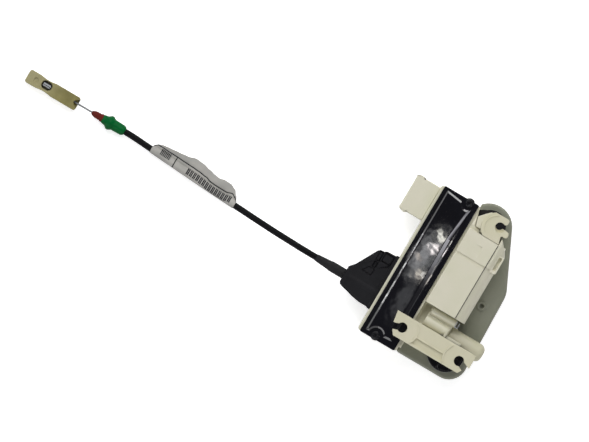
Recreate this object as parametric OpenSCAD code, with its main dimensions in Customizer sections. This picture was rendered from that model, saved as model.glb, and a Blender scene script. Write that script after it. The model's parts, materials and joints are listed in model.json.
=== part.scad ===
// Door soft-close actuator: a motor and worm gear pull a rack, and the rack pulls a Bowden cable.
// Frame: origin on the base face, under the point where the motor axis (X = 0, along Y)
// and the cable axis (Y = 0, along X) cross. +X runs from the cable end to the tube, +Z is up.

/* [Base shell] */
// Height of the base shell with its plate
base_h = 16; // [14:1:20]
// Wall of the base shell
base_wall = 2.4; // [1.6:0.2:2.8]
// Thickness of the base plate
base_plate_t = 2; // [1.5:0.5:3]
// Thickness of the seal between plate and shell
base_seal_t = 0.8; // [0.5:0.1:1.2]
// Radius of the locating hole in the small boss on the shell
locate_hole_r = 1.8; // [1.2:0.1:2.6]

/* [Motor] */
// Outer radius of the motor can
motor_r = 13.5; // [12.5:0.5:14.5]
// Length of the motor can
motor_l = 52; // [46:1:55]
// Wall of the motor can
can_wall = 1.2; // [0.8:0.1:1.6]
// Radius of the motor shaft
shaft_r = 1.5; // [1.2:0.1:1.8]
// Radius of the armature core
core_r = 8.6; // [7.5:0.1:9]
// Length of the armature core
core_l = 26; // [20:1:28]

/* [Casing] */
// Distance from the motor axis to the tray
tray_gap_x = 20.5; // [19.5:0.5:24]
// Wall round the motor
case_wall = 1.8; // [1.4:0.1:2.4]
// Start of the motor casing along Y
case_y0 = 14.3; // [13.8:0.1:16]
// Length of the motor casing
case_l = 68.5; // [67:0.5:74]
// Floor under the motor
case_floor = 1.6; // [1.2:0.1:2.4]
// Height of the deck over the gear case
deck_h = 4.6; // [4.4:0.1:5]

/* [Tray and cover] */
// Width of the electronics tray
tray_w = 35.5; // [34:0.5:40]
// Length of the electronics tray
tray_l = 133.5; // [130:0.5:140]
// Depth of the electronics tray
tray_h = 34; // [30:1:36]
// Wall of the tray
tray_wall = 2; // [1.6:0.1:2.6]
// Cream edge left free beside the cover
cover_inset = 2; // [1.5:0.1:2.4]
// Thickness of the cover's flange
cover_t = 1.6; // [1.2:0.1:2]
// Height of the raised panel above the flange
panel_rise = 1.4; // [0.8:0.1:1.6]
// Radius of the ears round the cover screws
ear_r = 4.2; // [3.8:0.1:4.6]
// Radius of the cover screws' shanks
cover_screw_r = 1.4; // [1.1:0.1:1.7]

/* [Gears] */
// Module of the worm and its wheel
worm_module = 0.8; // [0.76:0.01:0.82]
// Pitch radius of the worm
worm_pitch_r = 4.1; // [4:0.05:4.3]
// Teeth of the worm wheel
wheel_teeth = 26; // [26:2:28]
// Face width of the worm wheel
wheel_w = 5; // [4:0.2:5.4]
// Module of the pinion and the rack
rack_module = 1; // [0.95:0.01:1.05]
// Teeth of the pinion
pinion_teeth = 20; // [16:4:20]
// Height of the rack and face width of the pinion
rack_h = 6; // [5:0.2:6.4]
// Travel of the rack
travel = 12; // [8:0.5:12]
// Radius of the wheel shaft
wheel_shaft_r = 2; // [1.6:0.1:2.4]
// Running clearance of a shaft in its bush
run_gap = 0.03; // [0.02:0.01:0.06]

/* [Rack tube and cable] */
// Outer radius of the rack tube
tube_r = 7.5; // [7.2:0.1:8]
// Wall of the rack tube
tube_wall = 1.9; // [1.6:0.1:2]
// Length of the rack tube
tube_l = 32.5; // [32:0.5:38]
// Radius of the cable's wire
wire_r = 0.75; // [0.6:0.05:0.9]
// Running clearance of the wire in its guides
wire_gap = 0.08; // [0.05:0.01:0.12]
// Outer radius of the conduit
conduit_r = 2.6; // [2.2:0.1:3]
// Outer radius of the strain sleeve
sleeve_r = 4.25; // [3.8:0.05:4.6]

/* [Brackets] */
// Thickness of the mounting brackets
bracket_t = 5; // [4:0.5:6]
// Radius of the keyholes
keyhole_r = 4.1; // [3.4:0.1:4.4]
// Width of a keyhole's neck
neck_w = 5.3; // [4.4:0.1:5.6]
// Distance between the two lower keyholes
keyhole_span = 52.5; // [50:0.5:54]
// Depth of the lower bracket's channel
channel_depth = 1.4; // [0.8:0.1:2]

/* [Connector] */
// Width of the connector shroud along Y
plug_w = 32; // [30:0.5:36]
// Reach of the connector shroud from the tray
plug_reach = 21; // [19:0.5:24]
// Height of the connector shroud
plug_h = 24; // [20:1:26]
// Wall of the connector shroud
plug_wall = 2; // [1.6:0.1:2.4]

/* [Cable end] */
// Length of the end clip
clip_l = 46.5; // [44:0.5:50]
// Width of the end clip
clip_w = 11.5; // [11:0.1:13]
// Thickness of the end clip
clip_t = 9; // [8.4:0.1:10]
// Radius of the ferrule's body
ferrule_r = 4.5; // [4:0.1:5]
// Radius of the ferrule's collar
collar_r = 6; // [5.6:0.1:6.1]

/* [Hidden] */
$fn = 48;
eps = 0.01;
motor_gap = 0.3;
fit_gap = 0.1;
seat_gap = 0.05;
gasket_t = 0.6;
cover_clear = 0.4;

case_x0 = -tray_gap_x;
cable_z = base_h + tube_r;
motor_z = base_h + case_floor + motor_gap + motor_r;
bore_r = motor_r + motor_gap;
shell_r = bore_r + case_wall;
case_y1 = case_y0 + case_l;
case_top = motor_z + shell_r;
bracket_z = case_top - bracket_t;
cover_plate_z = motor_z + bore_r;
seam_x = 6.3;
seam_gap = 0.5;
shoulder_x = seam_x + seam_gap;

// Gear train: the wheel stands beside the worm, the pinion under it drives the rack.
lead = PI * worm_module;
wheel_pitch_r = worm_module * wheel_teeth / 2;
wheel_x = worm_pitch_r + wheel_pitch_r;
pinion_pitch_r = rack_module * pinion_teeth / 2;
rack_line_y = -3.2;
wheel_y = rack_line_y - pinion_pitch_r;
pressure_angle = 20;
worm_top_r = worm_pitch_r + worm_module;
worm_root_r = worm_pitch_r - 1.25 * worm_module;
worm_l = 11.6;
worm_y0 = wheel_y - worm_l / 2;
chamber_r = max(wheel_pitch_r + worm_module, pinion_pitch_r + rack_module) + 0.4;
cap_r = chamber_r + 3.5;
worm_bore_r = worm_top_r + 0.4;
rack_x0 = -14;
rack_x1 = 21.2;
rack_back_y = 3.2;
rack_slot = 0.4;
bush_t = 1.5;
gear_y0 = -22;
gear_x1 = 8.5;
deck_x0 = -13.5;
deck_z = motor_z + deck_h;
split_y = -2.9;
wheel_z0 = motor_z - wheel_w / 2;
chamber_z1 = wheel_z0 + wheel_w + 2.6;
tube_bore_r = tube_r - tube_wall;
tube_collar_r = tube_r + 0.8;
tube_x1 = gear_x1 + tube_l;
bumper_x = rack_x1 + travel + 0.4;

// Tray and cover levels.
tray_top = bracket_z - cover_clear - panel_rise - cover_t - gasket_t;
tray_z0 = tray_top - tray_h;
tray_x0 = case_x0 - tray_w;
tray_y0 = -32.2;
tray_y1 = tray_y0 + tray_l;
cover_x0 = tray_x0 + cover_inset;
cover_x1 = case_x0 - 1.8;
cover_z = tray_top + gasket_t;
screw_top = [case_x0 - 9.6, tray_y1 - 1.8];
screw_low = [tray_x0 + 15, tray_y0 + 2.8];
cover_screws = [screw_top, screw_low];
guide_r = wire_r + wire_gap + 1.6;

// Base outline, counter-clockwise: each entry is a centre and a corner radius.
base_corners = [
    [case_x0 + 2.7, -29.2, 3], [20.5, -17.2, 15], [15.5, 47, 18], [-6.8, 91.4, 18.9],
    [case_x0 - 6, 88, 3]
];
base_screws = [[-14, -25], [25, -20], [24, 50], [-12, 30], [-2, 103]];
boss_at = [20.5, 33.8];
shell_z0 = base_plate_t + base_seal_t;

// Keyholes: the lower pair shares one line, the upper one stands on the motor axis.
lower_mid_x = 0.25;
keyhole_y = -13.2;
upper_y = 96.3;
key_left = [lower_mid_x - keyhole_span / 2, keyhole_y];
key_right = [lower_mid_x + keyhole_span / 2, keyhole_y];
key_upper = [0.6, 95.1];
buffer_at = [-6.5, 92.8];
buffer_r = 12.5;

// Connector and board.
plug_y1 = tray_y1 - 2;
plug_y0 = plug_y1 - plug_w;
plug_x0 = tray_x0 - plug_reach;
plug_z1 = tray_top - 2;
plug_z0 = plug_z1 - plug_h;
board_z = tray_top - 10;
board_t = 1.6;
board_x0 = tray_x0 + tray_wall + 1;
board_x1 = case_x0 - tray_wall - 1.5;
board_l = 56.5;
board_y1 = tray_y1 - 6.8;
board_y0 = board_y1 - board_l;
lead_y = board_y1 - 24.5;
lead_w = 6;
pin_t = 1;
pin_z = board_z + board_t;
post_r = 2.5;
board_posts = [for (x = [board_x0 + 4, board_x1 - 4], y = [board_y0 + 4, board_y1 - 7]) [x, y]];

// Cable route, from the sleeve's tip to the ferrule.
route = [
    [-113.5, 0, cable_z], [-126, 0.1, 23.4], [-140, 0.4, 22.7], [-154, 0.8, 21.2],
    [-168, 1.4, 19.1], [-182, 2.1, 16.6], [-196, 2.8, 14], [-210, 3.5, 11.6],
    [-224, 4.3, 9.6], [-238, 5.2, 8], [-252, 6.1, 6.9], [-266, 7, 6.3],
    [-278, 7.8, 6.2], [-288, 8.4, 6.2], [-297, 8.6, 6.2]
];
boot_x0 = -87.5;
sleeve_x0 = route[0][0];
far_y = 8.6;
far_z = 6.2;
ferrule_x1 = -297;
ferrule_l = 20.5;
ferrule_x0 = ferrule_x1 - ferrule_l;
seal_l = 10;
seal_x0 = ferrule_x0 - seal_l;
clip_x1 = seal_x0 - travel - 1;
clip_x0 = clip_x1 - clip_l;
clip_y = 8;
clip_z0 = far_z - 5.8;
nipple_x = clip_x0 + 17.5;
nipple_r = 2.4;
window_l = 9;
window_w = 7;
label_from = 2;
label_to = 11;

cream = "#d2cfbd";
shell_green = "#7f8279";
gloss_black = "#101014";
matte_black = "#26262a";
steel = "#b9bcc0";
brass = "#c9a24a";
copper = "#b8693a";

// Shared shapes.
module box(low, high) translate(low) cube(high - low);

module rod_x(x0, x1, y, z, r) translate([x0, y, z]) rotate([0, 90, 0]) cylinder(h = x1 - x0, r = r);

module rod_y(y0, y1, x, z, r) translate([x, y0, z]) rotate([-90, 0, 0]) cylinder(h = y1 - y0, r = r);

module rod_z(p, z0, z1, r) translate([p.x, p.y, z0]) cylinder(h = z1 - z0, r = r);

module slab(z0, z1) translate([0, 0, z0]) linear_extrude(z1 - z0) children();

module round_rect(low, high, r) {
    translate([low.x + r, low.y]) square([high.x - low.x - 2 * r, high.y - low.y]);
    translate([low.x, low.y + r]) square([high.x - low.x, high.y - low.y - 2 * r]);
    for (x = [low.x + r, high.x - r], y = [low.y + r, high.y - r]) translate([x, y]) circle(r);
}

// Outward normal of the line that touches circles a and b on their right side.
function side_normal(a, b) =
    let (d = [b.x - a.x, b.y - a.y], turn = atan2(d.y, d.x) - acos((a.z - b.z) / norm(d)))
    [cos(turn), sin(turn)];

function touch(c, n) = [c.x + c.z * n.x, c.y + c.z * n.y];

// A convex outline with true arcs: a polygon through the touching points, and the corner circles.
module round_outline(corners) {
    last = len(corners) - 1;
    polygon([for (i = [0:last]) let (
        c = corners[i], before = corners[i == 0 ? last : i - 1], after = corners[i == last ? 0 : i + 1]
    ) each [touch(c, side_normal(before, c)), touch(c, side_normal(c, after))]]);
    for (c = corners) translate([c.x, c.y]) circle(c.z);
}

// The base outline, drawn in by inset and cut straight beside the tray.
module base_outline(inset) intersection() {
    round_outline([for (c = base_corners) [c.x, c.y, c.z - inset]]);
    translate([case_x0 + inset, -100]) square([200, 300]);
}

// Cable route made smooth: a curve through the points, with steps between each pair.
function curve_point(a, b, c, d, t) =
    0.5 * (2 * b + (c - a) * t + (2 * a - 5 * b + 4 * c - d) * t * t + (3 * b - a - 3 * c + d) * t * t * t);

function smooth(points, steps) = let (last = len(points) - 1) concat(
    [for (i = [0:last - 1], k = [0:steps - 1]) curve_point(
        points[max(i - 1, 0)], points[i], points[i + 1], points[min(i + 2, last)], k / steps)],
    [points[last]]);

function backwards(list) = [for (i = [len(list) - 1:-1:0]) list[i]];

function unit(v) = v / norm(v);

// Direction of the line at point i. Both ends are cut square to X.
function heading(line, i) = i == 0 || i == len(line) - 1 ? [1, 0, 0] : unit(line[i + 1] - line[i - 1]);

// Places a flat profile square to the line at point i, first axis level, second axis up.
function ring(line, i, profile) = let (
    t = heading(line, i), side = unit(cross([0, 0, 1], t)), up = cross(t, side)
) [for (p = profile) line[i] + side * p.x + up * p.y];

function circle_profile(r, n) = [for (k = [0:n - 1]) r * [cos(360 * k / n), sin(360 * k / n)]];

// Sweeps one profile per point of the line into a closed solid.
module sweep(line, profiles) {
    n = len(profiles[0]);
    last = len(line) - 1;
    points = [for (i = [0:last]) each ring(line, i, profiles[i])];
    sides = [for (i = [0:last - 1], k = [0:n - 1]) let (
        a = i * n + k, b = i * n + (k + 1) % n
    ) each [[a, a + n, b + n], [a, b + n, b]]];
    faces = concat([[for (k = [0:n - 1]) k]], sides, [[for (k = [n - 1:-1:0]) last * n + k]]);
    polyhedron(points, faces);
}

// Base.
module base_plate() color(shell_green) difference() {
    slab(0, base_plate_t) base_outline(0.3);
    for (p = base_screws) rod_z(p, -eps, base_plate_t + eps, 1.6);
    for (p = base_screws) rod_z(p, -eps, base_plate_t / 2, 3);
}

module base_seal() color(matte_black) difference() {
    slab(base_plate_t, shell_z0) base_outline(0.5);
    slab(base_plate_t - 1, shell_z0 + 1) base_outline(base_wall - 0.5);
}

boss_h = 1.6;
module base_shell() color(shell_green) {
    soft = 3;
    difference() {
        union() {
            hull() {
                slab(shell_z0, base_h - soft) base_outline(0, $fn = 64);
                slab(base_h - soft, base_h - soft / 3) base_outline(soft * 0.26, $fn = 64);
                slab(base_h - soft / 3, base_h) base_outline(soft * 0.75, $fn = 64);
            }
            rod_z(boss_at, base_h - eps, base_h + boss_h, 4);
            rod_z([wheel_x, wheel_y], base_h - eps, cable_z - rack_h / 2 - 0.5, 5.5);
        }
        slab(-eps, base_h - 3.4) base_outline(base_wall);
        rod_z(boss_at, base_h - 2, base_h + boss_h + eps, locate_hole_r);
        rod_z([wheel_x, wheel_y], base_h - 2, cable_z, wheel_shaft_r + bush_t);
    }
    for (p = base_screws) difference() {
        rod_z(p, shell_z0, base_h - 3, 3.2);
        rod_z(p, shell_z0 - eps, base_h - 4.5, 1.25);
    }
    base_ribs();
}

// Stiffening ribs under the shell's top.
module base_ribs() intersection() {
    slab(base_h - 7, base_h - 3) base_outline(base_wall - 0.2);
    union() {
        for (y = [-5, 15, 63, 80]) box([-60, y, 0], [60, y + 1.6, base_h]);
        box([4, -60, 0], [5.6, 130, base_h]);
    }
}

module base_screws() color(steel) for (p = base_screws) {
    rod_z(p, 0.2, base_plate_t / 2, 2.8);
    rod_z(p, 0.2 + eps, base_h - 5, 1.2);
}

// Tray, cover and their screws.
module tray_outline(grow) {
    round_rect([tray_x0 - grow, tray_y0 - grow], [case_x0 + min(grow, 0), tray_y1 + grow], 2 + grow);
    for (p = cover_screws) translate(p) circle(ear_r + grow);
}

// The tray's inside. Near the top a lip on both long sides carries the cover's edge.
lip_w = 1.4;
module tray_inside(lip) round_rect(
    [tray_x0 + tray_wall + lip, tray_y0 + tray_wall], [case_x0 - tray_wall - lip, tray_y1 - tray_wall], 1);

module tray() color(cream) difference() {
    union() {
        slab(tray_z0, tray_top) tray_outline(0);
        box([tray_x0, plug_y0 + 2, plug_z0], [tray_x0 + tray_wall, plug_y1 - 2, plug_z1]);
    }
    difference() {
        union() {
            slab(tray_z0 + tray_wall, tray_top - 2 * tray_wall) tray_inside(0);
            slab(tray_z0 + tray_wall, tray_top + eps) tray_inside(lip_w);
        }
        for (p = cover_screws) rod_z(p, tray_z0, tray_top, ear_r - 0.4);
        for (p = board_posts) rod_z(p, tray_z0, board_z, post_r);
        for (y = [-16, 20]) box([tray_x0, y, tray_z0], [case_x0, y + 1.6, cable_z - guide_r - 2]);
    }
    for (p = cover_screws) rod_z(p, tray_top - 12, tray_top + eps, cover_screw_r + seat_gap);
    rod_x(tray_x0 - 1, case_x0 + 1, 0, cable_z, guide_r + seat_gap);
    box([tray_x0 - 1, plug_y0 + 4, pin_z - 1], [tray_x0 + tray_wall + 1, plug_y1 - 4, pin_z + 3]);
    box([case_x0 - tray_wall - 1, lead_y, pin_z], [case_x0 + 1, lead_y + lead_w, pin_z + 4]);
}

module cover_outline(inset) {
    round_rect([cover_x0 + inset, tray_y0 - 0.5 + inset], [cover_x1 - inset, tray_y1 + 0.5 - inset], 1.2);
    for (p = cover_screws) translate(p) circle(ear_r - inset);
}

module cover_gasket() color(matte_black) slab(tray_top, cover_z) difference() {
    cover_outline(0.3);
    tray_inside(lip_w);
    for (p = cover_screws) translate(p) circle(cover_screw_r + 0.5);
}

module cover() color(gloss_black) difference() {
    union() {
        slab(cover_z, cover_z + cover_t) cover_outline(0);
        slab(cover_z, cover_z + cover_t + panel_rise) difference() {
            polygon([
                [cover_x0 + 3.5, tray_y0 + 3], [cover_x1 - 5, tray_y0 + 5],
                [cover_x1 - 6.2, tray_y1 - 35.3], [cover_x1 - 2.2, tray_y1 - 1.5],
                [screw_top.x - 6, tray_y1 - 3.5], [cover_x0 + 3.5, tray_y1 - 1.5]
            ]);
            for (p = cover_screws) translate(p) circle(ear_r + 1.8);
        }
    }
    slab(cover_z - eps, cover_z + panel_rise) round_rect(
        [cover_x0 + 6.5, tray_y0 + 10], [cover_x1 - 9, tray_y1 - 10], 1);
    for (p = cover_screws) rod_z(p, cover_z - eps, cover_z + cover_t + eps, cover_screw_r + 0.2);
}

module cover_screws() color(gloss_black) for (p = cover_screws) difference() {
    union() {
        rod_z(p, cover_z + cover_t, cover_z + cover_t + 1.8, 3.2);
        rod_z(p, tray_top - 10, cover_z + cover_t + eps, cover_screw_r);
    }
    for (a = [0, 90]) translate([p.x, p.y, cover_z + cover_t + 1.4]) rotate(a)
        cube([3.2, 0.8, 2], center = true);
}

// Connector: a socket that opens downwards, with its pins bent from the board.
module connector_shroud() color(cream) difference() {
    slab(plug_z0, plug_z1) union() {
        round_rect([plug_x0, plug_y0], [plug_x0 + 8, plug_y1], 2.6);
        translate([plug_x0 + 4, plug_y0 + 0.8]) square([plug_reach - 4, plug_w - 1.6]);
    }
    slab(plug_z0 - eps, plug_z1 - plug_wall) round_rect(
        [plug_x0 + plug_wall, plug_y0 + plug_wall + 0.8],
        [tray_x0 - plug_wall, plug_y1 - plug_wall - 0.8], 1.2);
    for (row = pin_rows) for (y = row[1]) box(
        [tray_x0 - plug_wall - 1, y - pin_t / 2 - seat_gap, pin_z],
        [tray_x0 + 1, y + pin_t / 2 + seat_gap, pin_z + pin_t + seat_gap]);
}

// Two rows of pins: the X of their legs in the socket and the Y of each pin.
pin_pitch = (plug_w - 12) / 6;
pin_rows = [
    [tray_x0 - plug_reach * 0.62, [for (k = [0:2]) plug_y0 + 7 + pin_pitch * (2 * k + 1)]],
    [tray_x0 - plug_reach * 0.36, [for (k = [0:3]) plug_y0 + 7 + pin_pitch * 2 * k - 1]]
];

module connector_pins() color(brass) for (row = pin_rows) for (y = row[1]) {
    box([row[0] - pin_t, y - pin_t / 2, pin_z], [board_x0 + 5, y + pin_t / 2, pin_z + pin_t]);
    box([row[0] - pin_t, y - pin_t / 2, plug_z0 + 6], [row[0], y + pin_t / 2, pin_z + pin_t]);
}

module circuit_board() color("#1f5a34")
    box([board_x0, board_y0, board_z], [board_x1, board_y1, board_z + board_t]);

module board_parts() {
    color(gloss_black) for (y = [board_y0 + 4, board_y0 + 17])
        box([board_x0 + 12, y, board_z + board_t], [board_x0 + 24, y + 10, board_z + board_t + 6]);
    color("#3a3f46") rod_z([board_x0 + 6, board_y0 + 10], board_z + board_t, board_z + board_t + 7, 3);
    color(matte_black)
        box([board_x0 + 12, board_y1 - 22, board_z + board_t], [board_x0 + 20, board_y1 - 12, board_z + board_t + 1.4]);
}

// Motor casing: a square left half and a round right shoulder, closed on top by a plate.
module case_profile() {
    translate([case_x0, base_h]) square([-case_x0, cover_plate_z - base_h]);
    translate([0, base_h]) square([shell_r, motor_z - base_h]);
    intersection() {
        translate([0, motor_z]) circle(shell_r);
        translate([0, motor_z - 1]) square([shell_r, shell_r + 2]);
    }
}

// Stands an X-Z profile up and runs it along Y.
module along_y(y0, y1) translate([0, y1, 0]) rotate([90, 0, 0]) linear_extrude(y1 - y0) children();

band_y = case_y0 + 45.5;
band_w = 2;
slot_y0 = band_y + 0.6;
slot_y1 = case_y1 - 7.2;
web_x = 3.6;
module motor_housing() color(cream) difference() {
    union() {
        along_y(case_y0, case_y1) case_profile();
        intersection() {
            along_y(band_y + band_w, case_y1 + 8) union() {
                translate([0, base_h]) square([shell_r + 0.9, motor_z - base_h]);
                translate([0, motor_z]) circle(shell_r + 0.9);
            }
            box([shoulder_x, 0, base_h], [40, 200, case_top - 1.2]);
        }
        slab(base_h, motor_z + 11.6) round_rect([shell_r - 6, slot_y0], [shell_r + 0.8, slot_y1], 1.5);
        corner_gusset();
        box([case_x0, case_y1 - eps, base_h], [case_x0 + 12, case_y1 + 3.2, cover_plate_z - 6]);
    }
    rod_y(case_y0 + case_wall, case_y1 + 1, 0, motor_z, bore_r);
    rod_y(case_y0 - 1, case_y0 + 3, 0, motor_z, 5.2);
    box([-seam_x - 7, case_y0 + case_wall, cover_plate_z - 4], [seam_x - 2.3, case_y1 + 1, case_top + 1]);
    box([-40, -10, cover_plate_z], [shoulder_x, case_y1 + 30, case_top + 1]);
    box([seam_x, case_y0 - 1, cover_plate_z - 0.9], [shoulder_x, case_y1 + 30, case_top]);
    box([case_x0 + 1.8, case_y0 + 6, base_h + 3], [-bore_r - 1.2, case_y1 - 6, cover_plate_z + 1]);
    slab(motor_z + 8.4, case_top + 1) round_rect([shell_r - 3.2, slot_y0 + 2.4], [shell_r - 0.7, slot_y1 - 1.2], 1);
    slab(0, case_top + 1) polygon([
        [shoulder_x - 1, case_y1 + 6.4], [shell_r - 1.6, case_y1 - 2.6], [shell_r + 0.8, slot_y1 + 0.4],
        [shell_r + 10, slot_y1 + 0.4], [shell_r + 10, case_y1 + 20], [shoulder_x - 1, case_y1 + 20]
    ]);
    box([-60, lead_y, pin_z], [-bore_r - 2, lead_y + lead_w, pin_z + 4]);
}

// The web that ties the casing to the tray above its end.
module corner_gusset() slab(base_h, tray_top) polygon([
    [case_x0, case_y1 + 3], [case_x0 + web_x, case_y1 + 3], [case_x0, case_y1 + 16]
]);

module motor_cover() color(cream) difference() {
    union() {
        box([case_x0, case_y0, cover_plate_z], [seam_x, band_y, case_top - 0.4]);
        box([case_x0, band_y - eps, cover_plate_z], [seam_x, band_y + band_w, case_top - 0.9]);
        box([case_x0, band_y + band_w - eps, cover_plate_z], [seam_x, case_y1 - 0.4, case_top]);
        box([-seam_x - 6.5, case_y0 + case_wall + 0.2, cover_plate_z - 1.2],
            [seam_x - 2.5, case_y0 + case_wall + 1.8, cover_plate_z + eps]);
    }
    thumb_mark();
    rod_y(case_y0, case_y1, 0, motor_z, bore_r);
}

// A shallow mark in the plate that is deepest in its upper right corner.
module thumb_mark() translate([-3.6, band_y + 14.4, case_top]) hull() {
    translate([-5.9, -11, 0]) cube([5.9, 11, 1]);
    translate([-0.2, -0.2, -0.9]) cube([0.2, 0.2, 1]);
}

module motor_end_cap() color(cream) difference() {
    rod_y(case_y1 - 2.4, case_y1, 0, motor_z, bore_r - fit_gap);
    rod_y(case_y1 - 3, case_y1 + 1, 0, motor_z, shaft_r + 1.2);
    box([-seam_x - 8, case_y1 - 3, cover_plate_z - 4.2], [seam_x, case_y1 + 1, case_top]);
}

// Motor: can, end bell, two magnets and two brushes stand still.
can_y0 = case_y0 + case_wall + 0.4;
can_y1 = can_y0 + motor_l;
bell_l = 6;
core_y0 = can_y0 + 9;
comm_y0 = core_y0 + core_l + 4.5;
comm_l = 7;
comm_r = 3.6;
bush_r = shaft_r + bush_t + 0.2;
magnet_in = core_r + 0.5;
magnet_out = motor_r - can_wall - seat_gap;

module motor_can() color(steel) difference() {
    union() {
        rod_y(can_y0, can_y1, 0, motor_z, motor_r);
        rod_y(can_y0 - 1.6, can_y0 + eps, 0, motor_z, 5);
    }
    rod_y(can_y0 + can_wall, can_y1 + 1, 0, motor_z, motor_r - can_wall);
    rod_y(can_y0 - 3, can_y0 + 4, 0, motor_z, bush_r);
    for (x = [-9, 9]) rod_y(can_y0 - 1, can_y0 + 3, x, motor_z, 1.3);
}

module end_bell() color(matte_black) difference() {
    union() {
        rod_y(can_y1, can_y1 + bell_l, 0, motor_z, motor_r);
        rod_y(can_y1 - 3, can_y1 + eps, 0, motor_z, motor_r - can_wall - seat_gap);
    }
    rod_y(can_y1 - 4, can_y1 + bell_l - 2, 0, motor_z, motor_r - can_wall - 2);
    rod_y(can_y1 - 4, can_y1 + bell_l + 1, 0, motor_z, bush_r);
}

module magnets() color("#3b3a3d") intersection() {
    difference() {
        rod_y(core_y0 - 2, core_y0 + core_l + 2, 0, motor_z, magnet_out);
        rod_y(core_y0 - 3, core_y0 + core_l + 3, 0, motor_z, magnet_in);
    }
    for (side = [0, 180]) translate([0, 0, motor_z]) rotate([0, side, 0])
        along_y(core_y0 - 2, core_y0 + core_l + 2) polygon([[0, 0], [20, -26], [20, 26]]);
}

module brushes() color("#2b2b2b") for (side = [-1, 1]) {
    x0 = comm_r + 0.12;
    x1 = motor_r - can_wall - 0.3;
    translate([side * (x0 + x1) / 2, comm_y0 + comm_l / 2, motor_z]) cube([x1 - x0, 4, 3], center = true);
}

// Turning part of the motor.
module on_shaft(y0, y1, r) difference() {
    rod_y(y0, y1, 0, motor_z, r);
    rod_y(y0 - 1, y1 + 1, 0, motor_z, shaft_r);
}

module armature_core() color("#8d8f94") difference() {
    on_shaft(core_y0, core_y0 + core_l, core_r);
    for (k = [0:4]) translate([0, 0, motor_z]) rotate([0, 72 * k, 0]) {
        translate([core_r * 0.62, core_y0 - 1, -1.6]) cube([core_r * 0.24, core_l + 2, 3.2]);
        translate([core_r * 0.8, core_y0 - 1, -0.5]) cube([core_r, core_l + 2, 1]);
    }
}

module windings() color(copper) {
    on_shaft(core_y0 - 4, core_y0, core_r - 1.8);
    on_shaft(core_y0 + core_l, core_y0 + core_l + 4, core_r - 1.8);
}

module commutator() color(copper) difference() {
    on_shaft(core_y0 + core_l + 4, comm_y0 + comm_l, comm_r);
    for (k = [0:4]) translate([0, 0, motor_z]) rotate([0, 72 * k, 0])
        translate([comm_r - 0.5, comm_y0 + 0.5, -0.15]) cube([2, comm_l, 0.3]);
}

shaft_y0 = gear_y0 + 0.8;
shaft_y1 = can_y1 + bell_l + 1;
module motor_shaft() color(steel) rod_y(shaft_y0, shaft_y1, 0, motor_z, shaft_r);

// Worm: a polar outline of one thread, twisted along the shaft. A gap faces the wheel's tooth.
thread_half = lead / 4 - 0.13;
function thread_r(a) = let (
    off = lead * abs(a) / 360, slope = tan(pressure_angle)
) max(worm_root_r, min(worm_top_r, worm_pitch_r + (thread_half - off) / slope));
worm_angles = [-180, -150, -126, -108, -90, -72, -54, -36, -18, 0, 18, 36, 54, 72, 90, 108, 126, 150];

module worm() color(steel) difference() {
    union() {
        translate([0, worm_y0, motor_z]) rotate([-90, 0, 0])
            linear_extrude(height = worm_l, twist = -360 * worm_l / lead, slices = round(18 * worm_l / lead))
            rotate(180 - 360 * (wheel_y - worm_y0) / lead)
            polygon([for (a = worm_angles) thread_r(a) * [cos(a), sin(a)]]);
        rod_y(worm_y0 + worm_l - 1, worm_y0 + worm_l + 0.8, 0, motor_z, worm_root_r - 0.4);
    }
    rod_y(worm_y0 - 1, worm_y0 + worm_l + 2, 0, motor_z, shaft_r);
}

// Bushes of the motor shaft: beyond the worm, between worm and motor, and in the motor's ends.
bush_l = 2.4;
bush_places = [gear_y0 + 0.6, -6, can_y0 - 1.4, can_y1 + bell_l - 2.6];
module shaft_bushes() color(brass) for (y = bush_places) difference() {
    rod_y(y, y + bush_l, 0, motor_z, bush_r - seat_gap);
    rod_y(y - 1, y + bush_l + 1, 0, motor_z, shaft_r + run_gap);
}

// Involute gear outline. slack is taken off each flank.
function involute(base_r, r) = let (a = acos(min(1, base_r / r))) (tan(a) * 180 / PI - a);

module gear_outline(module_size, teeth, slack) {
    pitch_r = module_size * teeth / 2;
    base_r = pitch_r * cos(pressure_angle);
    top_r = pitch_r + module_size;
    root_r = pitch_r - 1.25 * module_size;
    half = 90 / teeth - slack / pitch_r * 180 / PI + involute(base_r, pitch_r);
    radii = [for (k = [0:4]) max(root_r, base_r) + (top_r - max(root_r, base_r)) * k / 4];
    flank = [for (r = radii) [r, half - involute(base_r, r)]];
    tooth = concat([[root_r, flank[0][1]]], flank);
    both = concat([for (p = tooth) [p[0], -p[1]]], [for (i = [len(tooth) - 1:-1:0]) tooth[i]]);
    polygon([for (k = [0:teeth - 1]) each [
        for (p = both) p[0] * [cos(p[1] + 360 * k / teeth), sin(p[1] + 360 * k / teeth)]
    ]]);
}

wheel_twist = wheel_w * lead / (2 * PI * worm_pitch_r) / wheel_pitch_r * 180 / PI;
module worm_wheel() color("#d9d6c8") translate([wheel_x, wheel_y, 0]) difference() {
    union() {
        translate([0, 0, wheel_z0]) rotate(-wheel_twist / 2)
            linear_extrude(height = wheel_w, twist = -wheel_twist, slices = 2)
            gear_outline(worm_module, wheel_teeth, 0.03);
        rod_z([0, 0], wheel_z0 + wheel_w - eps, chamber_z1 - 0.4, wheel_shaft_r + 2.2);
    }
    rod_z([0, 0], wheel_z0 - 1, chamber_z1 + 1, wheel_shaft_r);
    for (k = [0:5]) rotate(60 * k) rod_z([wheel_pitch_r * 0.66, 0], wheel_z0 - 1, wheel_z0 + wheel_w + 1, 1.4);
}

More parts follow.
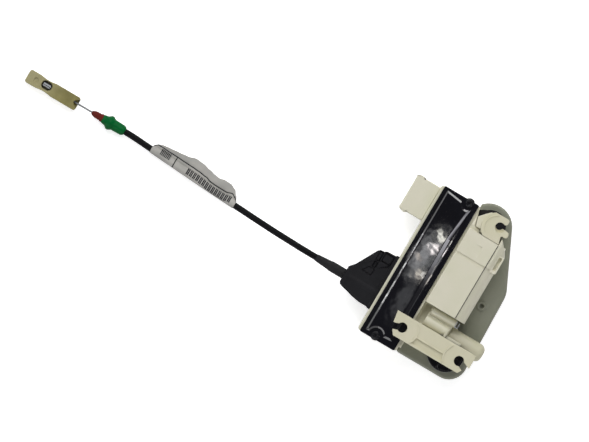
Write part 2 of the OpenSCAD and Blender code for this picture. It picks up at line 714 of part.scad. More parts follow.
pinion_z0 = cable_z - rack_h / 2;
module pinion() color(steel) translate([wheel_x, wheel_y, 0]) difference() {
    union() {
        slab(pinion_z0, pinion_z0 + rack_h) gear_outline(rack_module, pinion_teeth, 0.06);
        rod_z([0, 0], pinion_z0 + rack_h - eps, wheel_z0, wheel_shaft_r + 2.4);
    }
    rod_z([0, 0], pinion_z0 - 1, wheel_z0 + 1, wheel_shaft_r);
}

wheel_shaft_z0 = base_h - 1.8;
wheel_shaft_z1 = chamber_z1 + 3;
module wheel_shaft() color(steel) rod_z([wheel_x, wheel_y], wheel_shaft_z0, wheel_shaft_z1, wheel_shaft_r);

lower_bush_z1 = pinion_z0 - 0.6;
module wheel_bushes() color(brass) for (z = [[base_h - 2, lower_bush_z1], [chamber_z1 - 0.2, chamber_z1 + 2.8]])
    difference() {
        rod_z([wheel_x, wheel_y], z[0], z[1], wheel_shaft_r + bush_t - seat_gap);
        rod_z([wheel_x, wheel_y], z[0] - 1, z[1] + 1, wheel_shaft_r + run_gap);
    }

// Hollows shared by the gear housing, its cover, the cap and the tube.
module gear_hollows() {
    rod_z([wheel_x, wheel_y], base_h - 1, chamber_z1, chamber_r);
    rod_y(worm_y0 - 0.8, worm_y0 + worm_l + 1.4, 0, motor_z, worm_bore_r);
    rod_y(shaft_y0 - 0.6, case_y0 + 1, 0, motor_z, shaft_r + 0.5);
    for (y = [bush_places[0], bush_places[1]]) rod_y(y, y + bush_l, 0, motor_z, bush_r);
    box([case_x0 - 1, rack_line_y - rack_module - rack_slot, pinion_z0 - rack_slot],
        [gear_x1 + eps, rack_back_y + rack_slot, pinion_z0 + rack_h + rack_slot]);
    rod_x(gear_x1 - eps, tube_x1 - 2.5, 0, cable_z, tube_bore_r);
}

module cap_space(grow) intersection() {
    rod_z([wheel_x, wheel_y], base_h - 1, bracket_z + 1, cap_r + grow);
    box([-40, -60, 0], [80, split_y + grow, 80]);
}

module gear_housing() color(cream) difference() {
    union() {
        box([case_x0, gear_y0, base_h], [gear_x1, case_y0 - eps, motor_z]);
        box([case_x0, gear_y0 - 6, base_h], [case_x0 + 1.9, gear_y0 + eps, tray_top]);
    }
    cap_space(seat_gap);
    gear_hollows();
    box([case_x0 + 2, split_y, motor_z - 3.2], [deck_x0, case_y0 - 1.6, motor_z + 1]);
}

module gear_cover() color(cream) difference() {
    union() {
        box([deck_x0, split_y, motor_z], [gear_x1, case_y0 - 0.2, deck_z]);
        box([case_x0 + 2, gear_y0, motor_z], [gear_x1, split_y + eps, bracket_z]);
        rod_x(deck_x0 + 1, gear_x1 + 1, case_y0 - 3.6, deck_z, 3.4);
        rod_x(deck_x0, gear_x1 - 1, 1.8, deck_z - 0.6, 4.5);
        box([gear_x1 - 3, split_y, deck_z], [gear_x1 - 1, 3.8, deck_z + 4]);
        box([gear_x1 - eps, split_y, motor_z], [wheel_x + 6.7, -0.8, chamber_z1 + 1.2]);
    }
    cap_space(seat_gap);
    gear_hollows();
    rod_x(gear_x1, wheel_x + 8, 0, cable_z, tube_collar_r + seat_gap);
    box([-30, -40, 0], [30, 40, motor_z]);
    box([-30, case_y0 - 0.2, 0], [30, case_y0 + 5, 60]);
    for (p = bracket_screw_places) {
        rod_z(p, motor_z - 1, motor_z + 3, 2.6);
        rod_z(p, motor_z, bracket_z + 1, 1.3);
    }
}

module gear_cap() color(gloss_black) difference() {
    cap_space(0);
    box([-40, -60, 0], [80, 60, base_h]);
    box([-40, -60, bracket_z], [80, 60, 80]);
    gear_hollows();
    rod_x(gear_x1 - 1, tube_x1, 0, cable_z, tube_r + seat_gap);
    rod_x(gear_x1 - 1, gear_x1 + 5.1, 0, cable_z, tube_collar_r + seat_gap);
    rod_z([wheel_x, wheel_y], chamber_z1 - 1, chamber_z1 + 3.2, wheel_shaft_r + bush_t);
    difference() {
        rod_z([wheel_x, wheel_y], bracket_z - 2, bracket_z + 1, cap_r - 1.6);
        rod_z([wheel_x, wheel_y], bracket_z - 3, bracket_z + 2, 6);
        for (a = [0:45:135]) translate([wheel_x, wheel_y, bracket_z]) rotate(a)
            cube([2 * cap_r, 1.4, 8], center = true);
    }
}

module spring_clip() color(steel) {
    box([gear_x1 + 1, case_y0 - 6.4, deck_z - 2.4], [gear_x1 + 1.6, case_y0 - 1, deck_z + 3]);
    box([gear_x1 + 1, case_y0 - 6.4, deck_z - 2.4], [gear_x1 + 4, case_y0 - 5.8, deck_z + 1.6]);
    box([gear_x1 + 3.4, case_y0 - 6.4, deck_z - 2.4], [gear_x1 + 4, case_y0 - 1.6, deck_z + 1.6]);
}

// Rack tube with its domed end.
module rack_tube() color(cream) difference() {
    union() {
        translate([gear_x1, 0, cable_z]) rotate([0, 90, 0]) rotate_extrude() intersection() {
            round_rect([-tube_r, -10], [tube_r, tube_l], 5);
            square([tube_r + 1, tube_l + 1]);
        }
        box([gear_x1, -2, base_h], [tube_x1 - 7, 2, cable_z - tube_r + 1]);
        intersection() {
            rod_x(gear_x1 + 1, gear_x1 + 5, 0, cable_z, tube_collar_r);
            box([gear_x1, -20, base_h], [tube_x1, 20, 60]);
        }
    }
    gear_hollows();
}

module end_bumper() color(matte_black) difference() {
    rod_x(bumper_x, tube_x1 - 2.5, 0, cable_z, tube_bore_r - seat_gap);
    rod_x(bumper_x - 1, bumper_x + 2, 0, cable_z, 2);
}

// Rack: teeth face the pinion, a space stands opposite the pinion's tooth.
rack_pitch = PI * rack_module;
tooth_half = rack_pitch / 4 - 0.08;
tooth_slope = tan(pressure_angle);
rack_root_y = rack_line_y + 1.25 * rack_module;
rack_tooth = [
    [-tooth_half - 1.25 * rack_module * tooth_slope, rack_root_y + eps],
    [-tooth_half + rack_module * tooth_slope, rack_line_y - rack_module],
    [tooth_half - rack_module * tooth_slope, rack_line_y - rack_module],
    [tooth_half + 1.25 * rack_module * tooth_slope, rack_root_y + eps]
];
nipple_at = [rack_x0 + 3, 0];
near_nipple_r = 2;

module rack() color(steel) difference() {
    union() {
        slab(pinion_z0, pinion_z0 + rack_h) {
            translate([rack_x0, rack_root_y]) square([rack_x1 - rack_x0, rack_back_y - rack_root_y]);
            translate([rack_x0, rack_line_y]) square([8, 3]);
            for (k = [-5:1]) translate([wheel_x + (k + 0.5) * rack_pitch, 0]) polygon(rack_tooth);
        }
    }
    rod_z(nipple_at, pinion_z0 + 1, pinion_z0 + rack_h + 1, near_nipple_r + seat_gap);
    box([rack_x0 - 1, -wire_r - 0.1, cable_z - wire_r - 0.1], [nipple_at.x, wire_r + 0.1, pinion_z0 + rack_h + 1]);
}

module rack_nipple() color(brass) difference() {
    rod_z(nipple_at, pinion_z0 + 1, pinion_z0 + rack_h, near_nipple_r);
    rod_x(nipple_at.x - 5, nipple_at.x + 1, 0, cable_z, wire_r + 0.02);
}

pull_wire_x0 = boot_x0 + 3.5;
module pull_wire() color(steel) rod_x(pull_wire_x0, nipple_at.x + 0.9, 0, cable_z, wire_r);

module wire_guide() color(cream) difference() {
    rod_x(tray_x0 - 1, case_x0, 0, cable_z, guide_r);
    rod_x(tray_x0 - 2, case_x0 + 1, 0, cable_z, wire_r + wire_gap);
}

// Brackets. A keyhole is a round hole with a neck that opens towards an angle.
module keyhole(p, angle) translate([p.x, p.y, bracket_z - 1]) {
    cylinder(h = bracket_t + 4, r = keyhole_r);
    rotate(angle) translate([0, -neck_w / 2, 0]) cube([24, neck_w, bracket_t + 4]);
}

bracket_screw_places = [[case_x0 + 6, -7.5], [case_x0 + 6, -17.5]];
bar_y0 = -22.2;
bar_y1 = -2.9;
rib_r = 14;
channel_y1 = keyhole_y - 1.6;
module lower_bracket() color(cream) difference() {
    union() {
        slab(bracket_z, case_top) polygon([
            [key_left.x - 10, bar_y1], [key_right.x + 10, bar_y1], [key_right.x + 10, keyhole_y - 1],
            [key_right.x + 5.4, bar_y0 + 3], [key_right.x + 3.6, bar_y0], [key_left.x - 3.4, bar_y0],
            [key_left.x - 5.8, bar_y0 + 3.2], [key_left.x - 8.4, keyhole_y + 0.6]
        ]);
        for (p = [key_left, key_right]) intersection() {
            slab(case_top - eps, case_top + 0.7) difference() {
                translate(p) circle(rib_r);
                translate(p) circle(rib_r - 1.4);
            }
            box([key_left.x + 4, bar_y0 + 1.6, 0], [key_right.x - 4, bar_y1 - 2, 80]);
        }
        box([key_left.x + rib_r - 0.2, channel_y1, case_top - eps],
            [key_right.x - rib_r + 0.2, channel_y1 + 1, case_top + 0.5]);
    }
    keyhole(key_left, 197);
    keyhole(key_right, -24);
    slab(case_top - channel_depth, case_top + 2) difference() {
        translate([key_left.x + 8, bar_y0 + 2]) square([keyhole_span - 16, channel_y1 - bar_y0 - 2]);
        for (p = [key_left, key_right]) translate(p) circle(rib_r);
    }
    for (p = bracket_screw_places) rod_z(p, bracket_z - 1, bracket_z + 3.6, 1.15);
}

arc_at = [-1.5, 93.2];
module upper_bracket() color(cream) difference() {
    union() {
        slab(bracket_z, case_top) {
            intersection() {
                translate(arc_at) circle(12.6);
                translate([-20, case_y1]) square([19, upper_y + 7.7 - case_y1]);
            }
            polygon([
                [-8.7, case_y1], [seam_x - 0.2, case_y1], [seam_x - 0.9, 86.2], [4.7, 88.6],
                [5.7, 89.8], [7.2, 89.6], [8.6, 89.8], [9.5, 90.6], [9.7, 91.8], [9.4, 93.4],
                [8.6, 94.6], [7.4, 95], [3.3, 95.4], [1.8, 98.4], [3.6, 98.9], [4.6, 99.7],
                [4.9, 101], [4.7, 102.8], [3.8, 103.8], [2.6, upper_y + 7.7], [-8, upper_y + 7.7],
                [-8.7, upper_y]
            ]);
        }
        slab(bracket_z - 1.6, bracket_z + eps) difference() {
            translate(key_upper) circle(keyhole_r + 1.2);
            translate([key_upper.x - 1, key_upper.y + 1]) circle(3.2);
            translate(key_upper) polygon([[-1, -1.1], [2.7, 0.3], [10, -0.4], [10, 6], [3.6, 6], [-1, 4.3]]);
        }
        intersection() {
            slab(case_top - eps, case_top + 0.6) translate(arc_at) difference() {
                circle(10.6);
                circle(9.6);
            }
            box([-20, case_y1 + 3, 0], [-4, upper_y + 6, 80]);
        }
    }
    rod_z(key_upper, bracket_z, case_top + 1, keyhole_r);
    for (p = upper_screw_places) rod_z(p, bracket_z - 1, bracket_z + 3.6, 1.15);
}

// The post under the upper bracket stands on the rubber buffer.
post_top = bracket_z;
buffer_h = 8;
upper_screw_places = [[-9.5, 93], [-6.5, case_y1 + 4]];
module bracket_post() color(cream) difference() {
    slab(base_h + buffer_h, post_top) polygon([
        [case_x0 + web_x + 0.3, case_y1 + 3.4], [case_x0 + web_x - 1.9, case_y1 + 11.1],
        [-14.3, upper_y + 2.8], [-11.2, upper_y + 5.8], [-7, upper_y + 7.2], [-5.4, upper_y + 2],
        [-5.4, case_y1 + 0.2], [-8.2, case_y1 + 0.2], [-8.2, case_y1 + 3.4]
    ]);
    for (p = upper_screw_places) {
        rod_z(p, base_h, post_top - 3, 2.3);
        rod_z(p, base_h, post_top + 1, 1.3);
    }
}

module bracket_screws() color(steel) {
    for (p = bracket_screw_places) {
        rod_z(p, motor_z + 0.6, motor_z + 3, 2.3);
        rod_z(p, motor_z + 0.7, bracket_z + 3, 1.1);
    }
    for (p = upper_screw_places) {
        rod_z(p, post_top - 5.4, post_top - 3, 2.1);
        rod_z(p, post_top - 5.3, bracket_z + 3, 1.1);
    }
}

module upper_buffer() color(gloss_black) difference() {
    intersection() {
        slab(base_h, base_h + buffer_h) union() {
            translate(buffer_at) circle(buffer_r);
            polygon([
                [case_x0, case_y1 + 5], [buffer_at.x, case_y1 + 5], [buffer_at.x - 5, buffer_at.y + 11],
                [case_x0 + 3.4, case_y1 + 18.4], [case_x0, case_y1 + 16.2]
            ]);
        }
        box([case_x0 + 0.2, case_y1 + 3.3, 0], [60, 200, 60]);
    }
    slab(0, tray_top + 1) polygon([
        [case_x0 - 1, case_y1 + 2.9], [case_x0 + web_x + 0.15, case_y1 + 2.9], [case_x0 + 0.1, case_y1 + 16.2],
        [case_x0 - 1, case_y1 + 16.2]
    ]);
    rod_z(buffer_at, base_h - 1, base_h + buffer_h + 1, 3.4);
}

// Cable boot: a flat gusseted cap with a round nose for the cable.
boot_plan = [
    [-88.3, 5.3], [-87, 7.8], [-83.5, 11.8], [-73.8, 29.8], [-72, 31.3], [-68.5, 31.8],
    [-66.5, 33], [-58.5, 33.3], [-56, 34.5], [-56, -14.5], [-59.5, -13.5], [-66.5, -13.4],
    [-73.5, -12.2], [-78.5, -10.7], [-83.5, -9.6], [-86.5, -8.5], [-88.5, -4.2]
];
boot_half_h = 9;
boot_nose_r = 9.4;
boot_panels = [
    [[-72, 22.5], [-68.4, 31]], [[-72, 16.6], [-68.4, 21.6]], [[-67.4, 23.8], [-59, 32]]
];
module cable_boot() color(matte_black) difference() {
    union() {
        intersection() {
            slab(cable_z - boot_half_h, cable_z + boot_half_h) translate([tray_x0 + 56, 0]) polygon(boot_plan);
            box([boot_x0, -60, 0], [tray_x0, 60, 60]);
        }
        rod_x(boot_x0 + 3, tray_x0, 0, cable_z, boot_nose_r);
        translate([boot_x0, 0, cable_z]) rotate([0, 90, 0])
            cylinder(h = 3 + eps, r1 = boot_nose_r - 2.4, r2 = boot_nose_r);
        box([tray_x0 - 2.4, -14.2, cable_z - boot_half_h - 1.4], [tray_x0, 34.2, cable_z + boot_half_h + 1]);
    }
    rod_x(boot_x0 + 1.5, tray_x0 + 1, 0, cable_z, wire_r + wire_gap);
    rod_x(tray_x0 - 1.2, tray_x0 + 1, 0, cable_z, guide_r + seat_gap);
    for (p = boot_panels) slab(cable_z + boot_half_h - 1.2, cable_z + 20) translate([tray_x0 + 56, 0])
        round_rect(p[0], p[1], 0.6);
    slab(cable_z + boot_half_h - 1.2, cable_z + 20) translate([tray_x0 + 56, 0])
        polygon([[-77.6, 9.8], [-68.4, 9.8], [-68.4, 15.6], [-73.6, 15.6]]);
}

module strain_sleeve() color(matte_black) translate([boot_x0, 0, cable_z]) rotate([0, -90, 0])
    rotate_extrude() polygon([
        [0, 0], [sleeve_r, 0], [sleeve_r, 12], [sleeve_r - 0.4, 14],
        [conduit_r + 0.3, boot_x0 - sleeve_x0], [0, boot_x0 - sleeve_x0]
    ]);

conduit_line = backwards(smooth(route, 3));
module conduit() color(matte_black)
    sweep(conduit_line, [for (p = conduit_line) circle_profile(conduit_r, 10)]);

// Label: paper folded round the conduit, with both plies joined into a fin.
label_line = [for (p = backwards(smooth(route, 3))) if (
    p.x <= route[label_from + 4].x + 5 && p.x >= route[label_to].x - 5) p];
function fin_reach(x) = 5.4 + 2.6 * (route[label_from + 4].x - x) / 80;
function label_profile(x) = let (r = conduit_r + 0.4) concat(
    [for (a = [50:40:310]) r * [cos(a), sin(a)]],
    [[r + 0.9, -0.45], [fin_reach(x), -0.3], [fin_reach(x), 0.3], [r + 0.9, 0.45]]);
module label() color("#c8c6c0") difference() {
    sweep(label_line, [for (p = label_line) label_profile(p.x)]);
    sweep(conduit_line, [for (p = conduit_line) circle_profile(conduit_r + 0.05, 10)]);
}

// Ferrule, seal and the pulling end.
module far_turn() translate([ferrule_x1, far_y, far_z]) rotate([0, -90, 0]) rotate_extrude() children();

module ferrule() color("#0d5c30") difference() {
    far_turn() polygon([
        [0, 0], [conduit_r + 0.6, 0], [ferrule_r - 0.2, 2], [ferrule_r, 10.4], [collar_r, 13],
        [collar_r, 14.6], [ferrule_r - 0.4, 17], [ferrule_r - 1, ferrule_l], [0, ferrule_l]
    ]);
    rod_x(ferrule_x0 - 1, ferrule_x1 - 3, far_y, far_z, wire_r + wire_gap);
}

module seal_boot() color("#7a241f") difference() {
    far_turn() polygon([
        [0, ferrule_l], [3.3, ferrule_l], [3.3, ferrule_l + 1.6], [2.7, ferrule_l + 2.4],
        [3, ferrule_l + 3.4], [2.7, ferrule_l + 4.4], [2.9, ferrule_l + 5.4], [2.5, ferrule_l + 7.6],
        [1.5, ferrule_l + seal_l], [0, ferrule_l + seal_l]
    ]);
    rod_x(seal_x0 - 1, ferrule_x0 + 1, far_y, far_z, wire_r + wire_gap);
}

module end_wire() color(steel) rod_x(nipple_x, ferrule_x0 + 3, far_y, far_z, wire_r);

module end_nipple() color(steel) difference() {
    rod_x(nipple_x - 3.4, nipple_x + 3.4, far_y, far_z, nipple_r);
    rod_x(nipple_x, nipple_x + 5, far_y, far_z, wire_r + 0.02);
}

module end_clip() color("#8a8150") difference() {
    slab(clip_z0, clip_z0 + clip_t) difference() {
        round_rect([clip_x0, clip_y - clip_w / 2], [clip_x1, clip_y + clip_w / 2], 2);
        for (s = [-1, 1]) translate([clip_x0 + 17, clip_y + s * (clip_w / 2 + 29.2)]) circle(30, $fn = 96);
    }
    slab(clip_z0 + 3, clip_z0 + clip_t + 1) translate([clip_x1 + eps, far_y])
        polygon([[0, -4.4], [0, 4], [-4, 0.9], [-4, -0.9]]);
    slab(far_z - nipple_r - 0.1, clip_z0 + clip_t + 1) translate([nipple_x, far_y])
        round_rect([-window_l / 2, -window_w / 2], [window_l / 2, window_w / 2], 3);
    box([nipple_x, far_y - wire_r - 0.2, far_z - wire_r - 0.2],
        [clip_x1 + 1, far_y + wire_r + 0.2, clip_z0 + clip_t - 1.4]);
    slab(clip_z0 - 1, clip_z0 + 2) round_rect(
        [clip_x0 + 24, clip_y - 3.6], [clip_x1 - 6, clip_y + 3.6], 1.5);
    rod_z([clip_x0 + 8, clip_y], clip_z0 + clip_t - 0.8, clip_z0 + clip_t + 1, 2);
}

base_plate();
base_seal();
base_shell();
base_screws();
tray();
cover_gasket();
cover();
cover_screws();
connector_shroud();
connector_pins();
circuit_board();
board_parts();
motor_housing();
motor_cover();
motor_end_cap();
motor_can();
end_bell();
magnets();
brushes();
armature_core();
windings();
commutator();
motor_shaft();
worm();
shaft_bushes();
worm_wheel();
pinion();
wheel_shaft();
wheel_bushes();
gear_housing();
gear_cover();
gear_cap();
spring_clip();
rack_tube();
end_bumper();
rack();
rack_nipple();
pull_wire();
wire_guide();
lower_bracket();
upper_bracket();
bracket_post();
bracket_screws();
upper_buffer();
cable_boot();
strain_sleeve();
conduit();
label();
ferrule();
seal_boot();
end_wire();
end_nipple();
end_clip();
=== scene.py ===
# %% [markdown]
# # Door soft-close actuator
# The object lies on a pale table and is seen from straight above: a cream gear and motor casing on a
# grey-green shell, a gloss black tray cover, and a stiff cable that ends in a clip. The CAD part brings
# every solid in its place, and this script gives the solids their moulded edges, finishes and print.

# %% Load the frame
import math

import bmesh
import bpy
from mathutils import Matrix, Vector
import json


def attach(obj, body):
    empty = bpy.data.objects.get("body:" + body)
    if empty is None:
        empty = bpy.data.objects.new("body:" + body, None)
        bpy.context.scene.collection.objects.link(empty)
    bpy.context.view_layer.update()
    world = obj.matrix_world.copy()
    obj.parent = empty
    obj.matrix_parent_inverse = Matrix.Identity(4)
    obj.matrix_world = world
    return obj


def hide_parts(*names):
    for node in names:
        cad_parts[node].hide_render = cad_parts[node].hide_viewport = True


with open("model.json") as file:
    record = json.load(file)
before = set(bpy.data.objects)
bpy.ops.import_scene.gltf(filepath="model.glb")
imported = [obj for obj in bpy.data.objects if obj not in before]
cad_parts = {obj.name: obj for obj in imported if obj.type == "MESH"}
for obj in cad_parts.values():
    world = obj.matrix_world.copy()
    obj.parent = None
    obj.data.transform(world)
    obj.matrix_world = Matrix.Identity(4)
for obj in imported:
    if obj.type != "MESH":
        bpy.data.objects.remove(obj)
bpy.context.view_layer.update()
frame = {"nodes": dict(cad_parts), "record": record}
nodes = frame["nodes"]
MM = 0.001

# %% [markdown]
# ## Camera
# The photograph looks straight down from far away, so nothing shows its sides. A long lens six metres
# up gives nearly parallel lines. The camera is turned about the vertical so that the cable falls away
# to the upper left, as it does in the photograph.

# %% Camera
VIEW_WIDTH = 471.2 * MM
VIEW_HEIGHT = 6.0
VIEW_TURN = math.radians(30.6)
VIEW_CENTRE = Vector((-143.2, 16.2, 25)) * MM

bpy.ops.object.select_all(action="DESELECT")
bpy.ops.object.camera_add(location=VIEW_CENTRE + Vector((0, 0, VIEW_HEIGHT)), rotation=(0, 0, VIEW_TURN))
camera = bpy.context.object
camera.data.sensor_width = 36
camera.data.lens = 36 * VIEW_HEIGHT / VIEW_WIDTH
bpy.context.scene.camera = camera
bpy.context.scene.view_settings.view_transform = "Standard"
print("lens", round(camera.data.lens, 1), "mm")


# %% Helpers for shader nodes
def shader_node(tree, kind, place=(0, 0), **inputs):
    """Adds a node and sets its inputs by name, with _ for a space."""
    made = tree.nodes.new(kind)
    made.location = place
    for name, value in inputs.items():
        made.inputs[name.replace("_", " ")].default_value = value
    return made


def link(tree, source, source_name, target, target_name):
    """Joins a named output of one node to a named input of another."""
    tree.links.new(source.outputs[source_name], target.inputs[target_name])


def feed(tree, socket, value):
    """Sets a socket to a number or a vector, or joins another node's output to it."""
    if isinstance(value, bpy.types.NodeSocket):
        tree.links.new(value, socket)
    else:
        socket.default_value = value


def maths(tree, operation, first, second=0.0):
    """The output of a Math node."""
    made = tree.nodes.new("ShaderNodeMath")
    made.operation = operation
    feed(tree, made.inputs[0], first)
    feed(tree, made.inputs[1], second)
    return made.outputs[0]


def vectors(tree, operation, first, second=None):
    """The output of a Vector Math node. The second value of SCALE is a number."""
    made = tree.nodes.new("ShaderNodeVectorMath")
    made.operation = operation
    feed(tree, made.inputs[0], first)
    if second is not None:
        feed(tree, made.inputs["Scale" if operation == "SCALE" else 1], second)
    return made.outputs["Value" if operation == "LENGTH" else "Vector"]


def between(tree, value, low, high):
    """1 between two limits and 0 outside them."""
    above = maths(tree, "GREATER_THAN", value, low)
    below = maths(tree, "LESS_THAN", value, high)
    return maths(tree, "MULTIPLY", above, below)


def ramp(tree, value, start, end, to_start=0.0, to_end=1.0):
    """A smooth change from one value to another."""
    made = shader_node(
        tree, "ShaderNodeMapRange", From_Min=start, From_Max=end, To_Min=to_start, To_Max=to_end)
    made.interpolation_type = "SMOOTHSTEP"
    tree.links.new(value, made.inputs["Value"])
    return made.outputs["Result"]


# %% [markdown]
# ## Table and light
# A product picture has an even, nearly shadowless light. More light would whiten the table but burn
# out the pale casing, so the light stays plain and the table shows itself white to the camera, in
# mirrors and through glass only. The room is pale near the horizon and dark overhead: the black cover
# faces up, and it is the dark ceiling that makes it look black. The room is darker to the right of the
# casing, which leaves the round shoulder of the motor in shade.

# %% Room
HORIZON = (0.86, 0.87, 0.88, 1)
HALF_WAY, HALF_WAY_UP = (0.62, 0.63, 0.64, 1), 0.45
OVERHEAD, OVERHEAD_UP = (0.10, 0.10, 0.105, 1), 0.85
LEFT_LEVEL, RIGHT_LEVEL = 1.0, 0.4

world = bpy.data.worlds.new("studio_room")
bpy.context.scene.world = world
world.use_nodes = True
room = world.node_tree
room.nodes.clear()
direction = shader_node(room, "ShaderNodeTexCoord", (-900, 0))
split = shader_node(room, "ShaderNodeSeparateXYZ", (-700, 0))
height_ramp = shader_node(room, "ShaderNodeValToRGB", (-500, 0))
height_ramp.color_ramp.elements[0].color = HORIZON
height_ramp.color_ramp.elements[1].position = OVERHEAD_UP
height_ramp.color_ramp.elements[1].color = OVERHEAD
height_ramp.color_ramp.elements.new(HALF_WAY_UP).color = HALF_WAY
lit_room = shader_node(room, "ShaderNodeBackground", (-200, 100))
pale_backdrop = shader_node(room, "ShaderNodeBackground", (-200, -100), Color=(0.95, 0.95, 0.95, 1))
eye = shader_node(room, "ShaderNodeLightPath", (-400, 300))
seen_or_lit = shader_node(room, "ShaderNodeMixShader", (0, 0))
sky_out = shader_node(room, "ShaderNodeOutputWorld", (200, 0))
link(room, direction, "Generated", split, "Vector")
link(room, split, "Z", height_ramp, "Fac")
link(room, height_ramp, "Color", lit_room, "Color")
side_level = ramp(room, split.outputs["X"], -0.3, 0.9, LEFT_LEVEL, RIGHT_LEVEL)
room.links.new(side_level, lit_room.inputs["Strength"])
link(room, eye, "Is Camera Ray", seen_or_lit, "Fac")
room.links.new(lit_room.outputs[0], seen_or_lit.inputs[1])
room.links.new(pale_backdrop.outputs[0], seen_or_lit.inputs[2])
room.links.new(seen_or_lit.outputs[0], sky_out.inputs["Surface"])


# %% Lamps
LAMP_AIM = Vector((-0.09, 0.02, 0.02))


def soft_lamp(name, place, size, power):
    """A square lamp that looks at the middle of the casing."""
    bpy.ops.object.light_add(type="AREA", location=place)
    lamp = bpy.context.object
    lamp.name = name
    lamp.data.shape = "SQUARE"
    lamp.data.size = size
    lamp.data.energy = power
    aim = LAMP_AIM - Vector(place)
    lamp.rotation_euler = aim.to_track_quat("-Z", "Y").to_euler()


soft_lamp("key_lamp", (-0.56, 1.00, 1.30), 1.5, 22.0)
soft_lamp("fill_lamp", (0.80, -0.85, 1.1), 1.2, 6.8)

# %% Table
TABLE_SIZE = 24
TABLE_LIFT = 0.62

bpy.ops.object.select_all(action="DESELECT")
bpy.ops.mesh.primitive_plane_add(size=TABLE_SIZE, location=(0, 0, 0))
table = bpy.context.object
table.name = "table"
white_table = bpy.data.materials.new("white_table")
white_table.use_nodes = True
top = white_table.node_tree
table_shader = top.nodes["Principled BSDF"]
table_shader.inputs["Base Color"].default_value = (0.90, 0.90, 0.90, 1)
table_shader.inputs["Roughness"].default_value = 0.9
table_shader.inputs["Specular IOR Level"].default_value = 0.1
table_shader.inputs["Emission Color"].default_value = (1, 1, 1, 1)
ray = shader_node(top, "ShaderNodeLightPath", (-600, -200))
looked_at = maths(top, "MAXIMUM", ray.outputs["Is Camera Ray"], ray.outputs["Is Glossy Ray"])
looked_at = maths(top, "MAXIMUM", looked_at, ray.outputs["Is Transmission Ray"])
top.links.new(maths(top, "MULTIPLY", looked_at, TABLE_LIFT), table_shader.inputs["Emission Strength"])
table.data.materials.append(white_table)


# %% [markdown]
# ## Cards for the gloss
# A gloss black lid shows no colour of its own, only what stands round it. Photographers therefore put
# pale cards near it, and these are seen by glossy rays alone, so they draw lines on the lid's slopes
# without lighting anything. A slope of 22 degrees mirrors a card 45 degrees up. The photograph also
# shows a smoky picture of the room in the middle of the lid, so one card hangs overhead with soft,
# cloudy spots. From six metres up, a point of the lid mirrors the card at nearly its own place, moved
# away from the camera's axis by the share MIRROR_SHIFT.

# %% Card helper
CARD_AWAY = 1.0
MIRROR_SHIFT = CARD_AWAY / VIEW_HEIGHT


def mirrored(x, y):
    """Where a point of the lid, in millimetres, finds its mirror picture on a card."""
    x, y = x * MM, y * MM
    return x + (x - VIEW_CENTRE.x) * MIRROR_SHIFT, y + (y - VIEW_CENTRE.y) * MIRROR_SHIFT


def card(name, place, turn, width, depth):
    """A pale card, seen by glossy rays only. Returns its node tree, its coordinates and its light."""
    bpy.ops.object.select_all(action="DESELECT")
    bpy.ops.mesh.primitive_plane_add(size=1, location=place, rotation=turn)
    made = bpy.context.object
    made.name = name
    made.scale = (width, depth, 1)
    bpy.ops.object.transform_apply(location=False, rotation=False, scale=True)
    made.visible_camera = made.visible_diffuse = made.visible_shadow = False
    made.visible_transmission = made.visible_volume_scatter = False
    glow = bpy.data.materials.new(name)
    glow.use_nodes = True
    tree = glow.node_tree
    tree.nodes.clear()
    light = shader_node(tree, "ShaderNodeEmission", (0, 0))
    surface = shader_node(tree, "ShaderNodeOutputMaterial", (200, 0)).inputs["Surface"]
    tree.links.new(light.outputs[0], surface)
    made.data.materials.append(glow)
    where = shader_node(tree, "ShaderNodeTexCoord", (-900, 0)).outputs["Object"]
    return tree, where, light


def noise(tree, where, scale, detail=3.0, distortion=0.0):
    """Grey clouds on a card."""
    made = shader_node(tree, "ShaderNodeTexNoise", Scale=scale, Detail=detail, Distortion=distortion)
    tree.links.new(where, made.inputs["Vector"])
    return made.outputs["Fac"]


# %% [markdown]
# The left and right cards draw the lines on the lid's long slopes, and their light changes along them
# as it does in the photograph. The top and low cards are even. The low card reaches far to the left,
# so that the slope round the lower screw, which turns that way, finds it too.

# %% Side cards
SLANT = math.radians(45)
TILT = math.radians(135)
AWAY = CARD_AWAY * math.sin(SLANT)
LID_MIDDLE = Vector((-38, 35, 41)) * MM
LID_LEFT, LID_RIGHT = LID_MIDDLE.x - 12 * MM, -27 * MM
LID_TOP, LID_LOW = 100 * MM, -25 * MM
CARD_Z = LID_MIDDLE.z + AWAY
STREAK_LIGHT, LEFT_LIGHT = 20.0, 3.0
LOW_CARD_LEFT = 0.30


def lengthways(tree, where):
    """The coordinate that runs along a side card."""
    axes = shader_node(tree, "ShaderNodeSeparateXYZ")
    tree.links.new(where, axes.inputs[0])
    return axes.outputs["Y"]


tree, where, light = card(
    "left_card", (LID_LEFT - AWAY, mirrored(0, 28)[1], CARD_Z), (0, TILT, 0), 0.22, 0.42)
along = lengthways(tree, where)
squeeze = shader_node(tree, "ShaderNodeMapping", Scale=(0.05, 1, 0))
tree.links.new(where, squeeze.inputs["Vector"])
streaks = ramp(tree, noise(tree, squeeze.outputs["Vector"], 190), 0.46, 0.60)
fade_in = ramp(tree, along, -0.05, -0.03)
fade_out = ramp(tree, along, 0.03, 0.045, 1.0, 0.0)
streaks = maths(tree, "MULTIPLY", streaks, maths(tree, "MULTIPLY", fade_in, fade_out))
streaks = maths(tree, "MULTIPLY", streaks, STREAK_LIGHT)
tree.links.new(maths(tree, "ADD", streaks, LEFT_LIGHT), light.inputs["Strength"])

tree, where, light = card(
    "right_card", (LID_RIGHT + AWAY, mirrored(0, 80)[1], CARD_Z), (0, -TILT, 0), 0.30, 0.22)
tree.links.new(ramp(tree, lengthways(tree, where), -0.07, -0.01, 0.3, 10.0), light.inputs["Strength"])
light.inputs["Color"].default_value = (0.94, 0.94, 1.0, 1)

